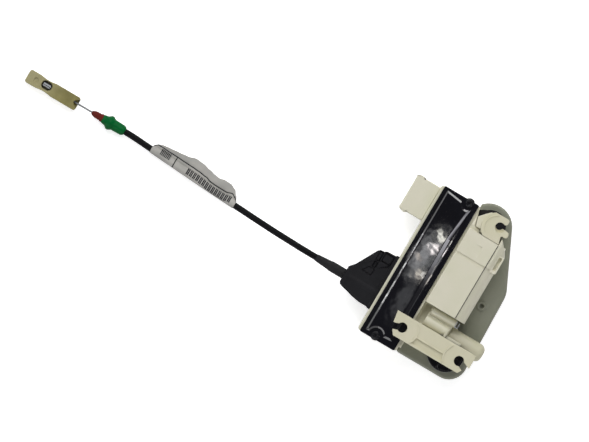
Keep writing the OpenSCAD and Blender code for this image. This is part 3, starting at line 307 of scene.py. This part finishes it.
for name, place, tilt, width, depth, strength in (
    ("top_card", (mirrored(-40, 0)[0], LID_TOP + AWAY, CARD_Z), TILT, 0.30, 0.20, 10.0),
    ("low_card", (mirrored(-38, 0)[0] - LOW_CARD_LEFT, LID_LOW - AWAY, CARD_Z), -TILT, 0.95, 0.45, 4.2),
):
    light = card(name, place, (tilt, 0, 0), width, depth)[2]
    light.inputs["Strength"].default_value = strength

# %% Ceiling card
CEILING = Vector((*mirrored(LID_MIDDLE.x / MM, LID_MIDDLE.y / MM), LID_MIDDLE.z + CARD_AWAY))
CEILING_SIZE = 0.26
DARK_CEILING = (0.10, 0.10, 0.105)
RAGGED_BY = 8 * MM

tree, where, light = card("ceiling_card", CEILING, (0, 0, 0), CEILING_SIZE, CEILING_SIZE)


def spot(place_mm, half_mm, turn_deg, strength, colour, ragged):
    """A soft spot of the ceiling's light, placed by the point of the lid that mirrors it."""
    here = shader_node(tree, "ShaderNodeMapping", Rotation=(0, 0, math.radians(turn_deg)))
    here.vector_type = "TEXTURE"
    mirror_x, mirror_y = mirrored(*place_mm)
    here.inputs["Location"].default_value = (mirror_x - CEILING.x, mirror_y - CEILING.y, 0)
    here.inputs["Scale"].default_value = (half_mm[0] * MM, half_mm[1] * MM, 1)
    tree.links.new(ragged, here.inputs["Vector"])
    fade = ramp(tree, vectors(tree, "LENGTH", here.outputs["Vector"]), 0.25, 1.0, strength, 0.0)
    return vectors(tree, "SCALE", colour, fade)


swirl = shader_node(tree, "ShaderNodeTexNoise", Scale=110.0, Detail=3.0)
tree.links.new(where, swirl.inputs["Vector"])
off_middle = vectors(tree, "SUBTRACT", swirl.outputs["Color"], (0.5, 0.5, 0.5))
shift = vectors(tree, "SCALE", off_middle, RAGGED_BY)
ragged = vectors(tree, "ADD", where, shift)
smoke = spot((-39, 47), (17, 36), -8, 8.0, (0.96, 0.98, 1.0), ragged)
wisps = ramp(tree, noise(tree, where, 95, 4.0, 1.2), 0.36, 0.64, 0.15, 1.0)
smoke = vectors(tree, "SCALE", smoke, wisps)
lights = vectors(tree, "ADD", smoke, DARK_CEILING)
SPOTS = (
    ((-36.3, 64.8), (8.0, 3.6), -28, 26.0, (1.0, 0.98, 0.88)),
    ((-36.0, 54.0), (9.0, 4.6), -17, 30.0, (1.0, 0.91, 0.89)),
    ((-44.2, 41.9), (4.0, 4.0), 0, 12.0, (1.0, 0.86, 0.74)),
    ((-36.4, 30.2), (7.0, 4.6), 0, 15.0, (1.0, 0.90, 0.76)),
    ((-31.2, 31.6), (2.8, 3.6), 20, 24.0, (1.0, 0.98, 0.92)),
    ((-36.0, 6.0), (8.0, 32.0), 0, 1.1, (0.95, 0.97, 1.0)),
)
for each in SPOTS:
    lights = vectors(tree, "ADD", lights, spot(*each, ragged))
tree.links.new(lights, light.inputs["Color"])

# %% [markdown]
# ## Finishes
# Moulded plastic is never one flat colour: the melt leaves faint clouds in it, and the mould's skin
# leaves a fine grain that breaks up the shine. Both come from noise on Object coordinates, so they
# stay on the piece when it moves. Most finishes here need the same grain, so it is one node group
# with its own numbers in each material, and the shader itself stays in the material. The brackets are
# a slightly darker cream than the casing. The tube's cream is darker again, and that extra darkness is
# painted shade for the tube's less lit sides. The clip is paler at its closed end.

# %% Grain group
def new_socket(tree, name, way, kind, value=None):
    """Adds an input or an output to a node group."""
    made = tree.interface.new_socket(name=name, in_out=way, socket_type=kind)
    if value is not None:
        made.default_value = value


grain = bpy.data.node_groups.new("moulded_grain", "ShaderNodeTree")
new_socket(grain, "Colour", "INPUT", "NodeSocketColor", (0.5, 0.5, 0.5, 1))
new_socket(grain, "Cloud Colour", "INPUT", "NodeSocketColor", (0.5, 0.5, 0.5, 1))
new_socket(grain, "Cloud Scale", "INPUT", "NodeSocketFloat", 40.0)
new_socket(grain, "Grain Scale", "INPUT", "NodeSocketFloat", 2200.0)
new_socket(grain, "Smoothest", "INPUT", "NodeSocketFloat", 0.4)
new_socket(grain, "Roughest", "INPUT", "NodeSocketFloat", 0.55)
new_socket(grain, "Colour", "OUTPUT", "NodeSocketColor")
new_socket(grain, "Roughness", "OUTPUT", "NodeSocketFloat")
new_socket(grain, "Height", "OUTPUT", "NodeSocketFloat")
asked = shader_node(grain, "NodeGroupInput", (-1000, 0))
given = shader_node(grain, "NodeGroupOutput", (500, 0))
place = shader_node(grain, "ShaderNodeTexCoord", (-1000, -300))
clouds = shader_node(grain, "ShaderNodeTexNoise", (-700, 200), Detail=3.0, Roughness=0.55)
cloud_range = shader_node(grain, "ShaderNodeMapRange", (-450, 200), From_Min=0.35, From_Max=0.65)
cloud_mix = shader_node(grain, "ShaderNodeMix", (-200, 250))
cloud_mix.data_type = "RGBA"
skin = shader_node(grain, "ShaderNodeTexNoise", (-700, -200), Detail=2.0, Roughness=0.6)
shine = shader_node(grain, "ShaderNodeMapRange", (-200, -50))
link(grain, place, "Object", clouds, "Vector")
link(grain, place, "Object", skin, "Vector")
link(grain, asked, "Cloud Scale", clouds, "Scale")
link(grain, asked, "Grain Scale", skin, "Scale")
link(grain, clouds, "Fac", cloud_range, "Value")
link(grain, cloud_range, "Result", cloud_mix, "Factor")
grain.links.new(asked.outputs["Colour"], cloud_mix.inputs["A"])
grain.links.new(asked.outputs["Cloud Colour"], cloud_mix.inputs["B"])
link(grain, skin, "Fac", shine, "Value")
link(grain, asked, "Smoothest", shine, "To Min")
link(grain, asked, "Roughest", shine, "To Max")
grain.links.new(cloud_mix.outputs["Result"], given.inputs["Colour"])
link(grain, shine, "Result", given, "Roughness")
link(grain, skin, "Fac", given, "Height")


# %% Moulded finish
def moulded(name, colour, clouds_to, smooth, rough, grain_size=2200.0, bump=0.05, relief=0.1,
            cloud_size=40.0, **plain):
    """A material whose colour, shine and relief come from the grain group. plain sets shader sockets."""
    made = bpy.data.materials.new(name)
    made.use_nodes = True
    tree = made.node_tree
    shader = tree.nodes["Principled BSDF"]
    skin_node = tree.nodes.new("ShaderNodeGroup")
    skin_node.location = (-500, 0)
    skin_node.node_tree = grain
    skin_node.name = "grain"
    skin_node.inputs["Colour"].default_value = (*colour, 1)
    skin_node.inputs["Cloud Colour"].default_value = (*clouds_to, 1)
    skin_node.inputs["Cloud Scale"].default_value = cloud_size
    skin_node.inputs["Grain Scale"].default_value = grain_size
    skin_node.inputs["Smoothest"].default_value = smooth
    skin_node.inputs["Roughest"].default_value = rough
    bumps = shader_node(tree, "ShaderNodeBump", (-250, -250), Strength=bump, Distance=relief * MM)
    link(tree, skin_node, "Colour", shader, "Base Color")
    link(tree, skin_node, "Roughness", shader, "Roughness")
    link(tree, skin_node, "Height", bumps, "Height")
    link(tree, bumps, "Normal", shader, "Normal")
    for socket, value in plain.items():
        shader.inputs[socket.replace("_", " ")].default_value = value
    return made


METAL = {"Metallic": 1.0}


def dull(level):
    """A weaker mirror shine than the 0.5 that the shader starts with."""
    return {"Specular_IOR_Level": level}


# Each row: colour, cloud colour, smoothest, roughest, and what differs from a plain moulding.
FINISH_ROWS = {
    "cream_plastic": ((0.640, 0.622, 0.476), (0.672, 0.642, 0.514), 0.38, 0.55, {"bump": 0.10}),
    "warm_cream": ((0.605, 0.580, 0.410), (0.630, 0.595, 0.445), 0.38, 0.55, {"bump": 0.10}),
    # The tube's row: the brackets' cream made darker still; the extra darkness is painted shade.
    "tube_cream_shaded": ((0.520, 0.500, 0.350), (0.545, 0.515, 0.385), 0.42, 0.6, {"bump": 0.10}),
    "shell_plastic": (
        (0.219, 0.227, 0.171), (0.247, 0.251, 0.196), 0.50, 0.68, {"bump": 0.25, **dull(0.2)}),
    "gloss_black": (
        (0.0035, 0.0035, 0.0055), (0.005, 0.005, 0.008), 0.02, 0.04,
        {"grain_size": 65, "bump": 1.0, "relief": 0.03}),
    "matte_black": (
        (0.008, 0.008, 0.0095), (0.012, 0.012, 0.014), 0.45, 0.62, {"bump": 0.35, **dull(0.10)}),
    "black_rubber": (
        (0.008, 0.008, 0.009), (0.012, 0.012, 0.013), 0.55, 0.75, {"bump": 0.2, **dull(0.15)}),
    "seal_black": (
        (0.004, 0.004, 0.004), (0.006, 0.006, 0.006), 0.6, 0.8, {"bump": 0.1, **dull(0.15)}),
    "conduit_skin": (
        (0.0030, 0.0030, 0.0033), (0.005, 0.005, 0.0055), 0.35, 0.5, {"bump": 0.2, **dull(0.05)}),
    "red_rubber": (
        (0.125, 0.012, 0.008), (0.085, 0.014, 0.010), 0.45, 0.65, {"bump": 0.15, **dull(0.08)}),
    "green_plastic": (
        (0.0002, 0.100, 0.020), (0.0005, 0.118, 0.026), 0.30, 0.45, {"bump": 0.1, **dull(0.06)}),
    "clip_plastic": (
        (0.25, 0.22, 0.07), (0.185, 0.16, 0.045), 0.3, 0.45, {"bump": 0.1, "cloud_size": 130}),
    "label_paper": ((0.31, 0.305, 0.285), (0.43, 0.415, 0.385), 0.5, 0.65, {"bump": 0.1, **dull(0.2)}),
    "steel": ((0.55, 0.56, 0.58), (0.62, 0.63, 0.65), 0.2, 0.38, {"grain_size": 4000, **METAL}),
    "wire_steel": ((0.10, 0.105, 0.11), (0.15, 0.155, 0.16), 0.3, 0.5, {"grain_size": 4000, **METAL}),
    "tool_steel": ((0.42, 0.43, 0.45), (0.5, 0.51, 0.53), 0.18, 0.3, METAL),
    "core_steel": ((0.25, 0.26, 0.28), (0.32, 0.33, 0.35), 0.35, 0.5, METAL),
    "brass": ((0.62, 0.42, 0.16), (0.7, 0.5, 0.22), 0.2, 0.35, METAL),
    "copper": ((0.65, 0.28, 0.13), (0.72, 0.34, 0.18), 0.25, 0.4, METAL),
    "magnet": ((0.04, 0.04, 0.043), (0.06, 0.06, 0.065), 0.5, 0.7, {}),
    "carbon": ((0.02, 0.02, 0.022), (0.035, 0.035, 0.04), 0.5, 0.7, {}),
    "board": ((0.012, 0.12, 0.035), (0.016, 0.15, 0.05), 0.25, 0.35, {}),
    "white_pom": ((0.66, 0.65, 0.58), (0.7, 0.69, 0.62), 0.35, 0.5, {}),
}
FINISH = {name: moulded(name, *look, **extra) for name, (*look, extra) in FINISH_ROWS.items()}
print("finishes", len(FINISH))

# %% Pale end of the clip
PALE_END, DEEP_END = -380 * MM, -352 * MM
PALE_OLIVE = (0.36, 0.325, 0.17, 1)
MOST_PALE = 0.8

tree = FINISH["clip_plastic"].node_tree
clip_place = shader_node(tree, "ShaderNodeSeparateXYZ", (-900, 400))
link(tree, shader_node(tree, "ShaderNodeTexCoord", (-1100, 400)), "Object", clip_place, "Vector")
paler = shader_node(tree, "ShaderNodeMix", (-250, 300))
paler.data_type = "RGBA"
pale_share = ramp(tree, clip_place.outputs["X"], PALE_END, DEEP_END, MOST_PALE, 0.0)
tree.links.new(pale_share, paler.inputs["Factor"])
tree.links.new(tree.nodes["grain"].outputs["Colour"], paler.inputs["A"])
paler.inputs["B"].default_value = PALE_OLIVE
tree.links.new(paler.outputs["Result"], tree.nodes["Principled BSDF"].inputs["Base Color"])

# %% Each CAD node gets its slot's finish, or its own
SLOT_OF = {s["node"]: s["material_slot"] for s in frame["record"]["subparts"]}
OWN_FINISH = {
    "lower_bracket": "warm_cream", "upper_bracket": "warm_cream", "rack_tube": "tube_cream_shaded",
    "end_wire": "wire_steel", "pull_wire": "wire_steel", "end_nipple": "wire_steel",
}
for name, node in nodes.items():
    node.data.materials.clear()
    node.data.materials.append(FINISH[OWN_FINISH.get(name, SLOT_OF[name])])
    for face in node.data.polygons:
        face.material_index = 0

# %% [markdown]
# ## Moulded edges
# No moulded part has knife edges: the mould is cut with a small radius, and that radius catches a
# thin line of light. The edges could be faked with a shader, but then the outline stays sharp and the
# line is lost when the model goes elsewhere. So each visible moulding is copied, its loose triangles
# are merged and its flat faces made whole, and a Bevel modifier rounds the edges that stand proud.
# Inner corners stay sharp, and an edge beside a thin rib or a short wall gets a smaller radius. A
# large face that bends round a hollow is split first, so that it stays flat beside its new edges.

# %% Copies of the CAD solids
SAME_POINT = 0.002 * MM
SAME_PLANE = math.radians(1.0)
BODY_OF = {n: body for body, names in frame["record"]["behaviour"]["bodies"].items() for n in names}


def only(piece):
    """Leaves one piece selected and active."""
    bpy.ops.object.select_all(action="DESELECT")
    piece.select_set(True)
    bpy.context.view_layer.objects.active = piece


def settle(piece, body, slot, *stands_for):
    """Attaches a finished piece to the body that carries it and hides the CAD nodes it stands for. The
    slot, what it is made of, is not used.
    """
    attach(piece, body)
    if stands_for:
        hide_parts(*stands_for)


def let_go():
    """Leaves edit mode."""
    bpy.ops.object.mode_set(mode="OBJECT")


def whole_copy(node_name, split=False):
    """A copy of a CAD node whose triangles are merged into whole flat faces, with hollow ones split."""
    piece = bpy.data.objects.new(node_name + "_moulded", nodes[node_name].data.copy())
    bpy.context.scene.collection.objects.link(piece)
    only(piece)
    bpy.ops.object.mode_set(mode="EDIT")
    bpy.ops.mesh.select_all(action="SELECT")
    bpy.ops.mesh.remove_doubles(threshold=SAME_POINT)
    bpy.ops.mesh.dissolve_limited(angle_limit=SAME_PLANE)
    if split:
        bpy.ops.mesh.vert_connect_concave()
    let_go()
    return piece


# %% Round the proud edges
BEVEL_STEPS = 3
ROOM_SHARE = 0.42
LEAST_SHARE = 0.1
SEAM_RADIUS = 0.12
SEAM_LEFT, SEAM_RIGHT, SEAM_ABOVE = 5.9, 7.3, 42


def room_beside(edge):
    """The shortest edge that runs across this one at its ends."""
    room = 1.0
    way = (edge.verts[1].co - edge.verts[0].co).normalized()
    for corner in edge.link_loops:
        for other in (corner.link_loop_next.edge, corner.link_loop_prev.edge):
            across = other.verts[1].co - other.verts[0].co
            if across.length > 0 and abs(across.normalized().dot(way)) < 0.7:
                room = min(room, across.length)
    return room


def smooth_chains(edges):
    """Groups edges that run on smoothly into each other."""
    waiting = set(edges)
    while waiting:
        chain = [waiting.pop()]
        for edge in chain:
            way = (edge.verts[1].co - edge.verts[0].co).normalized()
            for other in {o for v in edge.verts for o in v.link_edges} & waiting:
                if abs((other.verts[1].co - other.verts[0].co).normalized().dot(way)) > 0.8:
                    waiting.discard(other)
                    chain.append(other)
        yield chain


def at_seam(edge):
    """Edges beside the thin seam along the motor, which stays narrow and dark."""
    middle = (edge.verts[0].co + edge.verts[1].co) / 2 / MM
    return SEAM_LEFT < middle.x < SEAM_RIGHT and middle.z > SEAM_ABOVE


def round_edges(piece, radius, sharp=38, smooth=35):
    """Rounds the convex edges of a piece. The radius is in millimetres and the angles in degrees."""
    form = bmesh.new()
    form.from_mesh(piece.data)
    layers = form.edges.layers.float
    weight = layers.get("bevel_weight_edge") or layers.new("bevel_weight_edge")
    proud = [
        edge for edge in form.edges
        if len(edge.link_faces) == 2 and edge.is_convex and edge.calc_face_angle(0) > math.radians(sharp)
    ]
    for chain in smooth_chains(proud):
        share = min(room_beside(edge) for edge in chain) * ROOM_SHARE / (radius * MM)
        if any(at_seam(edge) for edge in chain):
            share = min(share, SEAM_RADIUS / radius)
        for edge in chain:
            edge[weight] = min(1.0, max(LEAST_SHARE, share))
    form.to_mesh(piece.data)
    form.free()
    only(piece)
    edges = piece.modifiers.new("mould_radius", "BEVEL")
    edges.width = radius * MM
    edges.segments = BEVEL_STEPS
    edges.limit_method = "WEIGHT"
    edges.use_clamp_overlap = False
    bpy.ops.object.modifier_apply(modifier=edges.name)
    bpy.ops.object.shade_smooth_by_angle(angle=math.radians(smooth))
    flat = piece.modifiers.new("flat_faces", "WEIGHTED_NORMAL")
    flat.keep_sharp = True
    bpy.ops.object.modifier_apply(modifier=flat.name)


def stand_in(piece, node_name):
    """Gives a finished piece the body and the place of its CAD node, and hides the node."""
    settle(piece, BODY_OF[node_name], SLOT_OF[node_name], node_name)


def soften(node_name, radius, split=False):
    """A copy of a CAD node with its proud edges rounded, which takes the node's place."""
    piece = whole_copy(node_name, split)
    round_edges(piece, radius)
    stand_in(piece, node_name)
    return piece


EDGE_RADII = {
    "gear_housing": 0.4, "gear_cover": 0.4, "rack_tube": 0.4, "lower_bracket": 0.35,
    # The upper buffer is a black rubber pad; its wedge into the gap beside the tray is painted shade.
    "upper_bracket": 0.21, "bracket_post": 0.24, "upper_buffer": 0.8, "ferrule": 0.4, "seal_boot": 0.3,
    "end_clip": 0.3, "strain_sleeve": 0.4, "cover_screws": 0.5, "spring_clip": 0.15, "end_nipple": 0.3,
}
HOLLOW_FACE_RADII = {
    "tray": 0.4, "connector_shroud": 0.9, "motor_housing": 0.5, "motor_cover": 0.4, "gear_cap": 0.3,
    "base_shell": 0.8,
}
moulded_pieces = {name: soften(name, radius) for name, radius in EDGE_RADII.items()}
for name, radius in HOLLOW_FACE_RADII.items():
    moulded_pieces[name] = soften(name, radius, split=True)
for name, piece in moulded_pieces.items():
    print(name, len(piece.data.polygons), "faces")


# %% [markdown]
# ## Cable boot
# The rubber boot where the cable leaves has raised panels with a narrow groove round each. The CAD
# solid has plain recesses there, so the floor of each recess is inset by the width of the groove and
# what is inside is lifted until it is a panel. Faces are picked in code, by their place and normal.

# %% Select by place
def pick(piece, kind, test):
    """Selects the faces or vertices of a piece that pass the test, in edit mode."""
    only(piece)
    bpy.ops.object.mode_set(mode="EDIT")
    bpy.ops.mesh.select_mode(type=kind)
    bpy.ops.mesh.select_all(action="DESELECT")
    form = bmesh.from_edit_mesh(piece.data)
    for item in form.faces if kind == "FACE" else form.verts:
        item.select_set(bool(test(item)))
    form.select_flush_mode()
    bmesh.update_edit_mesh(piece.data)


def shift_picked(x=0.0, y=0.0, z=0.0):
    """Moves what is picked and leaves edit mode."""
    bpy.ops.transform.translate(value=(x, y, z))
    let_go()


# %% Boot panels
BOOT_FLANGE_STEP = 1.0 * MM
GROOVE_W, GROOVE_D = 0.75 * MM, 1.2 * MM
PANEL_SUNK = 0.1 * MM
BOOT_RADIUS = 0.3

boot = whole_copy("cable_boot", split=True)
floor_z = max(v.co.z for v in boot.data.vertices) - BOOT_FLANGE_STEP - GROOVE_D


def is_recess_floor(face):
    """An upward face at the depth of the boot's recesses."""
    return face.normal.z > 0.99 and abs(face.calc_center_median().z - floor_z) < 0.05 * MM


pick(boot, "FACE", is_recess_floor)
bpy.ops.mesh.inset(thickness=GROOVE_W, use_even_offset=True)
shift_picked(z=GROOVE_D - PANEL_SUNK)
round_edges(boot, BOOT_RADIUS)
stand_in(boot, "cable_boot")
print("boot", len(boot.data.polygons), "faces")

# %% [markdown]
# ## Cover
# The lid is pressed from a thin flange with a raised panel, and the panel's rim is a slope that dips
# round both screws. The slope is what catches the light in the photograph: narrow on the left and
# wide on the right. The CAD solid has a plain step there, so its top face is inset to make the slope,
# the outer loop is let down, and the inner loop is pushed to the left along the right-hand side. Two
# thin points of the panel, at its upper right and beside the lower screw, are merged on the way,
# because rounded edges that cross inside so thin a point fold over each other.

# %% Cover slopes
PANEL_Z = 41.5 * MM
RIGHT_SIDE = -31.5 * MM
SLOPE_W, SLOPE_H = 1.7 * MM, 0.7 * MM
RIGHT_DROP, RIGHT_WIDER = 0.45 * MM, 1.3 * MM
COVER_RADIUS = 0.35


def at_upper_horn(vertex):
    """The thin point at the panel's upper right."""
    return vertex.co.z > PANEL_Z and vertex.co.x > -29.7 * MM and vertex.co.y > 93.2 * MM


def at_low_corner(vertex):
    """The thin sliver of the panel where the left slope meets the arc round the lower screw."""
    x, y, z = vertex.co / MM
    return z > PANEL_Z / MM and -49.5 < x < -47.5 and -28 < y < -25.5


def points(piece, test):
    """The places of the vertices that pass the test, read in edit mode."""
    return {v.co.copy().freeze() for v in bmesh.from_edit_mesh(piece.data).verts if test(v)}


def on_inner(vertex):
    """Whether a vertex is on the slope's upper, inner loop."""
    return vertex.co.copy().freeze() in inner


def on_right_rim(vertex):
    """The outer loop along the right-hand side, after it is let down."""
    return PANEL_Z - 0.8 * MM < vertex.co.z < PANEL_Z and vertex.co.x > RIGHT_SIDE + 1.5 * MM


cover = whole_copy("cover")
pick(cover, "VERT", at_upper_horn)
bpy.ops.mesh.merge(type="CENTER")
let_go()
pick(cover, "FACE", lambda face: face.normal.z > 0.9 and face.calc_center_median().z > PANEL_Z)
bpy.ops.mesh.inset(thickness=SLOPE_W, use_even_offset=True)
inner = points(cover, lambda v: v.select)
let_go()
pick(cover, "VERT", at_low_corner)
bpy.ops.mesh.merge(type="CENTER")
inner |= points(cover, at_low_corner)
let_go()
pick(cover, "VERT", lambda v: v.co.z > PANEL_Z and not on_inner(v))
shift_picked(z=-SLOPE_H)
pick(cover, "VERT", on_right_rim)
shift_picked(z=-RIGHT_DROP)
pick(cover, "VERT", lambda v: on_inner(v) and v.co.x > RIGHT_SIDE and v.co.y < 90 * MM)
shift_picked(x=-RIGHT_WIDER)
round_edges(cover, COVER_RADIUS, sharp=15, smooth=30)
stand_in(cover, "cover")
print("cover", len(cover.data.polygons), "faces, inner points", len(inner))

# %% [markdown]
# ## Seam
# The plate over the motor and the casing's shoulder leave a gap of half a millimetre, and the shade
# in it reads as a fine black line. A thin black cord laid in the gap paints that shade. A curve with a
# round bevel gives the cord, and it follows the plate from end to end.

# %% Seam shade cord
SHADE_CORD_R = 0.27 * MM
HALF_GAP = 0.25 * MM
END_GAP = TOP_GAP = 0.4 * MM

plate = [v.co for v in nodes["motor_cover"].data.vertices]
seam_x = max(v.x for v in plate) + HALF_GAP
seam_low, seam_high = min(v.y for v in plate) + END_GAP, max(v.y for v in plate) - END_GAP
seam_z = max(v.z for v in plate) - TOP_GAP - SHADE_CORD_R
bpy.ops.object.select_all(action="DESELECT")
bpy.ops.curve.primitive_bezier_curve_add(location=(0, 0, 0))
seam_shade_cord = bpy.context.object
seam_shade_cord.name = "seam_shade_cord"
for knot, y in zip(seam_shade_cord.data.splines[0].bezier_points, (seam_low, seam_high)):
    knot.handle_left_type = knot.handle_right_type = "VECTOR"
    knot.co = (seam_x, y, seam_z)
seam_shade_cord.data.bevel_depth = SHADE_CORD_R
seam_shade_cord.data.bevel_resolution = 3
seam_shade_cord.data.use_fill_caps = True
only(seam_shade_cord)
bpy.ops.object.convert(target="MESH")
seam_shade_cord.data.materials.clear()
# The cord's black is painted shade for the inside of the seam.
seam_shade_cord.data.materials.append(FINISH["seal_black"])
settle(seam_shade_cord, "actuator", "black_rubber")
print("seal ends and height in mm", [round(v / MM, 1) for v in (seam_low, seam_high, seam_z)])

# %% [markdown]
# ## Cable
# The conduit is a stiff plastic hose, so it keeps a slow, even curve between the sleeve on the casing
# and the ferrule at its end. A Bezier curve through the route's points, with a round bevel, is the
# natural tool: its own line is the cable's centre, and its length can be measured. The handles are a
# third of the way to the next point along the line between the neighbours, which gives a smooth bend.

# %% Conduit
ROUTE_MM = [
    (-113.5, 0, 23.5), (-126, 0.1, 23.4), (-140, 0.4, 22.7), (-154, 0.8, 21.2), (-168, 1.4, 19.1),
    (-182, 2.1, 16.6), (-196, 2.8, 14), (-210, 3.5, 11.6), (-224, 4.3, 9.6), (-238, 5.2, 8),
    (-252, 6.1, 6.9), (-266, 7, 6.3), (-278, 7.8, 6.2), (-288, 8.4, 6.2), (-297, 8.6, 6.2),
]
ROUTE = [Vector(p) * MM for p in ROUTE_MM]
CONDUIT_D = 5.2 * MM

conduit_curve = bpy.data.curves.new("cable_conduit", "CURVE")
conduit_curve.dimensions = "3D"
conduit_curve.resolution_u = 8
conduit_curve.bevel_depth = CONDUIT_D / 2
conduit_curve.bevel_resolution = 8
conduit_curve.use_fill_caps = True
spline = conduit_curve.splines.new("BEZIER")
spline.bezier_points.add(len(ROUTE) - 1)
for i, (knot, here) in enumerate(zip(spline.bezier_points, ROUTE)):
    slope = (ROUTE[min(i + 1, len(ROUTE) - 1)] - ROUTE[max(i - 1, 0)]) / 6
    knot.co = here
    knot.handle_left_type = knot.handle_right_type = "FREE"
    knot.handle_left = here - slope
    knot.handle_right = here + slope
cable_conduit = bpy.data.objects.new("cable_conduit", conduit_curve)
bpy.context.scene.collection.objects.link(cable_conduit)
conduit_curve.materials.append(FINISH["conduit_skin"])
settle(cable_conduit, "actuator", "conduit_skin", "conduit")


# %% [markdown]
# ## Label
# A strip of paper is wrapped round the conduit and its ends are pressed together, which leaves a flag
# of two plies on the far side. It is made from one flat grid: every row of the grid is laid round the
# conduit, from the front ply's free edge over the hose and back to the rear ply's free edge. The two
# edges wave a little, as cut paper does. UVs count millimetres from the front edge, so the print
# follows the paper. The print itself is plain: a rule, a divider and evenly spaced bars.

# %% Label shape
LABEL_CUT = (
    (-271.6, 9.9, 9.6), (-270.3, 12.2, 11.9), (-268, 13.7, 13.9), (-264, 13.7, 15.2), (-258, 13.3, 15.8),
    (-251, 13.1, 16.5), (-243, 12.6, 17.3), (-236, 12.3, 19.2), (-229, 11.8, 18.6), (-222, 10.9, 17.0),
    (-217, 9.4, 15.8), (-212, 9.0, 15.1), (-208, 8.9, 16.1), (-202, 8.8, 15.9), (-197, 10.2, 13.8),
    (-193.5, 8.3, 9.6), (-191.2, 5.4, 5.8),
)
WRAP_R = 2.95
FURTHEST_JOIN = 3.9
PLY_STEPS = 6
FRONT_OFF, FRONT_CROWN = 0.35, 0.25
REAR_OFF, REAR_DROOP = 0.35, 0.9
TABLE_GAP = 0.35


def along_table(table, x, column):
    """A smooth value between the rows of a table whose first column is x."""
    for low, high in zip(table, table[1:]):
        if x <= high[0]:
            share = max(0.0, (x - low[0]) / (high[0] - low[0]))
            share = share * share * (3 - 2 * share)
            return low[column] + (high[column] - low[column]) * share
    return table[-1][column]


ROUTE_BY_X = tuple(reversed(ROUTE_MM))


def route_at(x, column):
    """The conduit's y or z at one x, in millimetres."""
    for low, high in zip(ROUTE_BY_X, ROUTE_BY_X[1:]):
        if x <= high[0]:
            return low[column] + (high[column] - low[column]) * (x - low[0]) / (high[0] - low[0])


def label_section(x):
    """The paper's path round the conduit at one x: pairs of y and z in millimetres."""
    y, z = route_at(x, 1), route_at(x, 2)
    front, rear = along_table(LABEL_CUT, x, 1) - y, along_table(LABEL_CUT, x, 2) - y
    join = min(FURTHEST_JOIN, front - 0.3)
    shares = [i / PLY_STEPS for i in range(PLY_STEPS + 1)]
    turns = [math.radians(a) for a in range(60, 301, 15)]
    path = [(front + (join - front) * s, FRONT_OFF + FRONT_CROWN * math.sin(s * 3)) for s in shares]
    path += [(join * 0.93, 1.0), (join * 0.78, 1.9)]
    path += [(WRAP_R * math.cos(a), WRAP_R * math.sin(a)) for a in turns]
    path += [(join * 0.78, -1.9), (join * 0.93, -1.0)]
    path += [(join + (rear - join) * s, -REAR_OFF - REAR_DROOP * s ** 2) for s in shares]
    return [(y + n, max(TABLE_GAP, z + up)) for n, up in path]


LABEL_ROWS = 80
PAPER_THICK = 0.15 * MM
LABEL_START, LABEL_END = LABEL_CUT[0][0], LABEL_CUT[-1][0]
around = len(label_section(LABEL_START)) - 1
bpy.ops.object.select_all(action="DESELECT")
bpy.ops.mesh.primitive_grid_add(x_subdivisions=LABEL_ROWS, y_subdivisions=around, size=1)
label = bpy.context.object
label.name = "label_flag"
print_map = label.data.uv_layers.active
paper_mm = {}
for vertex in label.data.vertices:
    x = LABEL_START + (LABEL_END - LABEL_START) * (vertex.co.x + 0.5)
    section = label_section(x)
    step = round((vertex.co.y + 0.5) * around)
    walked = sum(math.dist(a, b) for a, b in zip(section[:step], section[1:step + 1]))
    vertex.co = Vector((x, *section[step])) * MM
    paper_mm[vertex.index] = (x - LABEL_START, walked)
for corner in label.data.loops:
    print_map.data[corner.index].uv = paper_mm[corner.vertex_index]
only(label)
bpy.ops.object.mode_set(mode="EDIT")
bpy.ops.mesh.select_all(action="SELECT")
bpy.ops.mesh.normals_make_consistent(inside=False)
let_go()
paper = label.modifiers.new("paper", "SOLIDIFY")
paper.thickness = PAPER_THICK
paper.offset = 0
bpy.ops.object.modifier_apply(modifier=paper.name)
bpy.ops.object.shade_smooth_by_angle(angle=math.radians(50))
settle(label, "actuator", "label_paper", "label")
print("label", len(label.data.polygons), "faces")

# %% Label print
INK = (0.018, 0.018, 0.020, 1)
BAR_PITCH, BLOCK_PITCH = 3.05, 1.3

label_print = FINISH["label_paper"].copy()
label_print.name = "label_print"
tree = label_print.node_tree
paper_place = shader_node(tree, "ShaderNodeUVMap", (-1500, 400))
paper_place.uv_map = print_map.name
flat = shader_node(tree, "ShaderNodeSeparateXYZ", (-1300, 400))
link(tree, paper_place, "UV", flat, "Vector")
run, drop = flat.outputs["X"], flat.outputs["Y"]


def window(run_limits, drop_limits):
    """1 inside a rectangle of the paper, in millimetres, and 0 outside it."""
    return maths(tree, "MULTIPLY", between(tree, run, *run_limits), between(tree, drop, *drop_limits))


def share_of(pitch):
    """How far along its own bar each point is, from 0 to 1."""
    return maths(tree, "FRACT", maths(tree, "DIVIDE", run, pitch))


rule = between(tree, drop, -0.1, 1.0)
divider = window((21.3, 22.2), (0.5, 12.0))
bar_share = share_of(BAR_PITCH)
bars = maths(tree, "ADD", between(tree, bar_share, 0.04, 0.40), between(tree, bar_share, 0.48, 0.82))
bars = maths(tree, "MULTIPLY", bars, window((33.6, 76.3), (2.9, 9.2)))
block = between(tree, share_of(BLOCK_PITCH), 0.1, 0.78)
block = maths(tree, "MULTIPLY", block, window((7.9, 17.2), (1.3, 7.6)))
inked = maths(tree, "ADD", maths(tree, "ADD", rule, divider), maths(tree, "ADD", bars, block))
ink_mix = shader_node(tree, "ShaderNodeMix", (-250, 300))
ink_mix.data_type = "RGBA"
ink_mix.clamp_factor = True
tree.links.new(inked, ink_mix.inputs["Factor"])
tree.links.new(tree.nodes["grain"].outputs["Colour"], ink_mix.inputs["A"])
ink_mix.inputs["B"].default_value = INK
tree.links.new(ink_mix.outputs["Result"], tree.nodes["Principled BSDF"].inputs["Base Color"])
label.data.materials.clear()
label.data.materials.append(label_print)
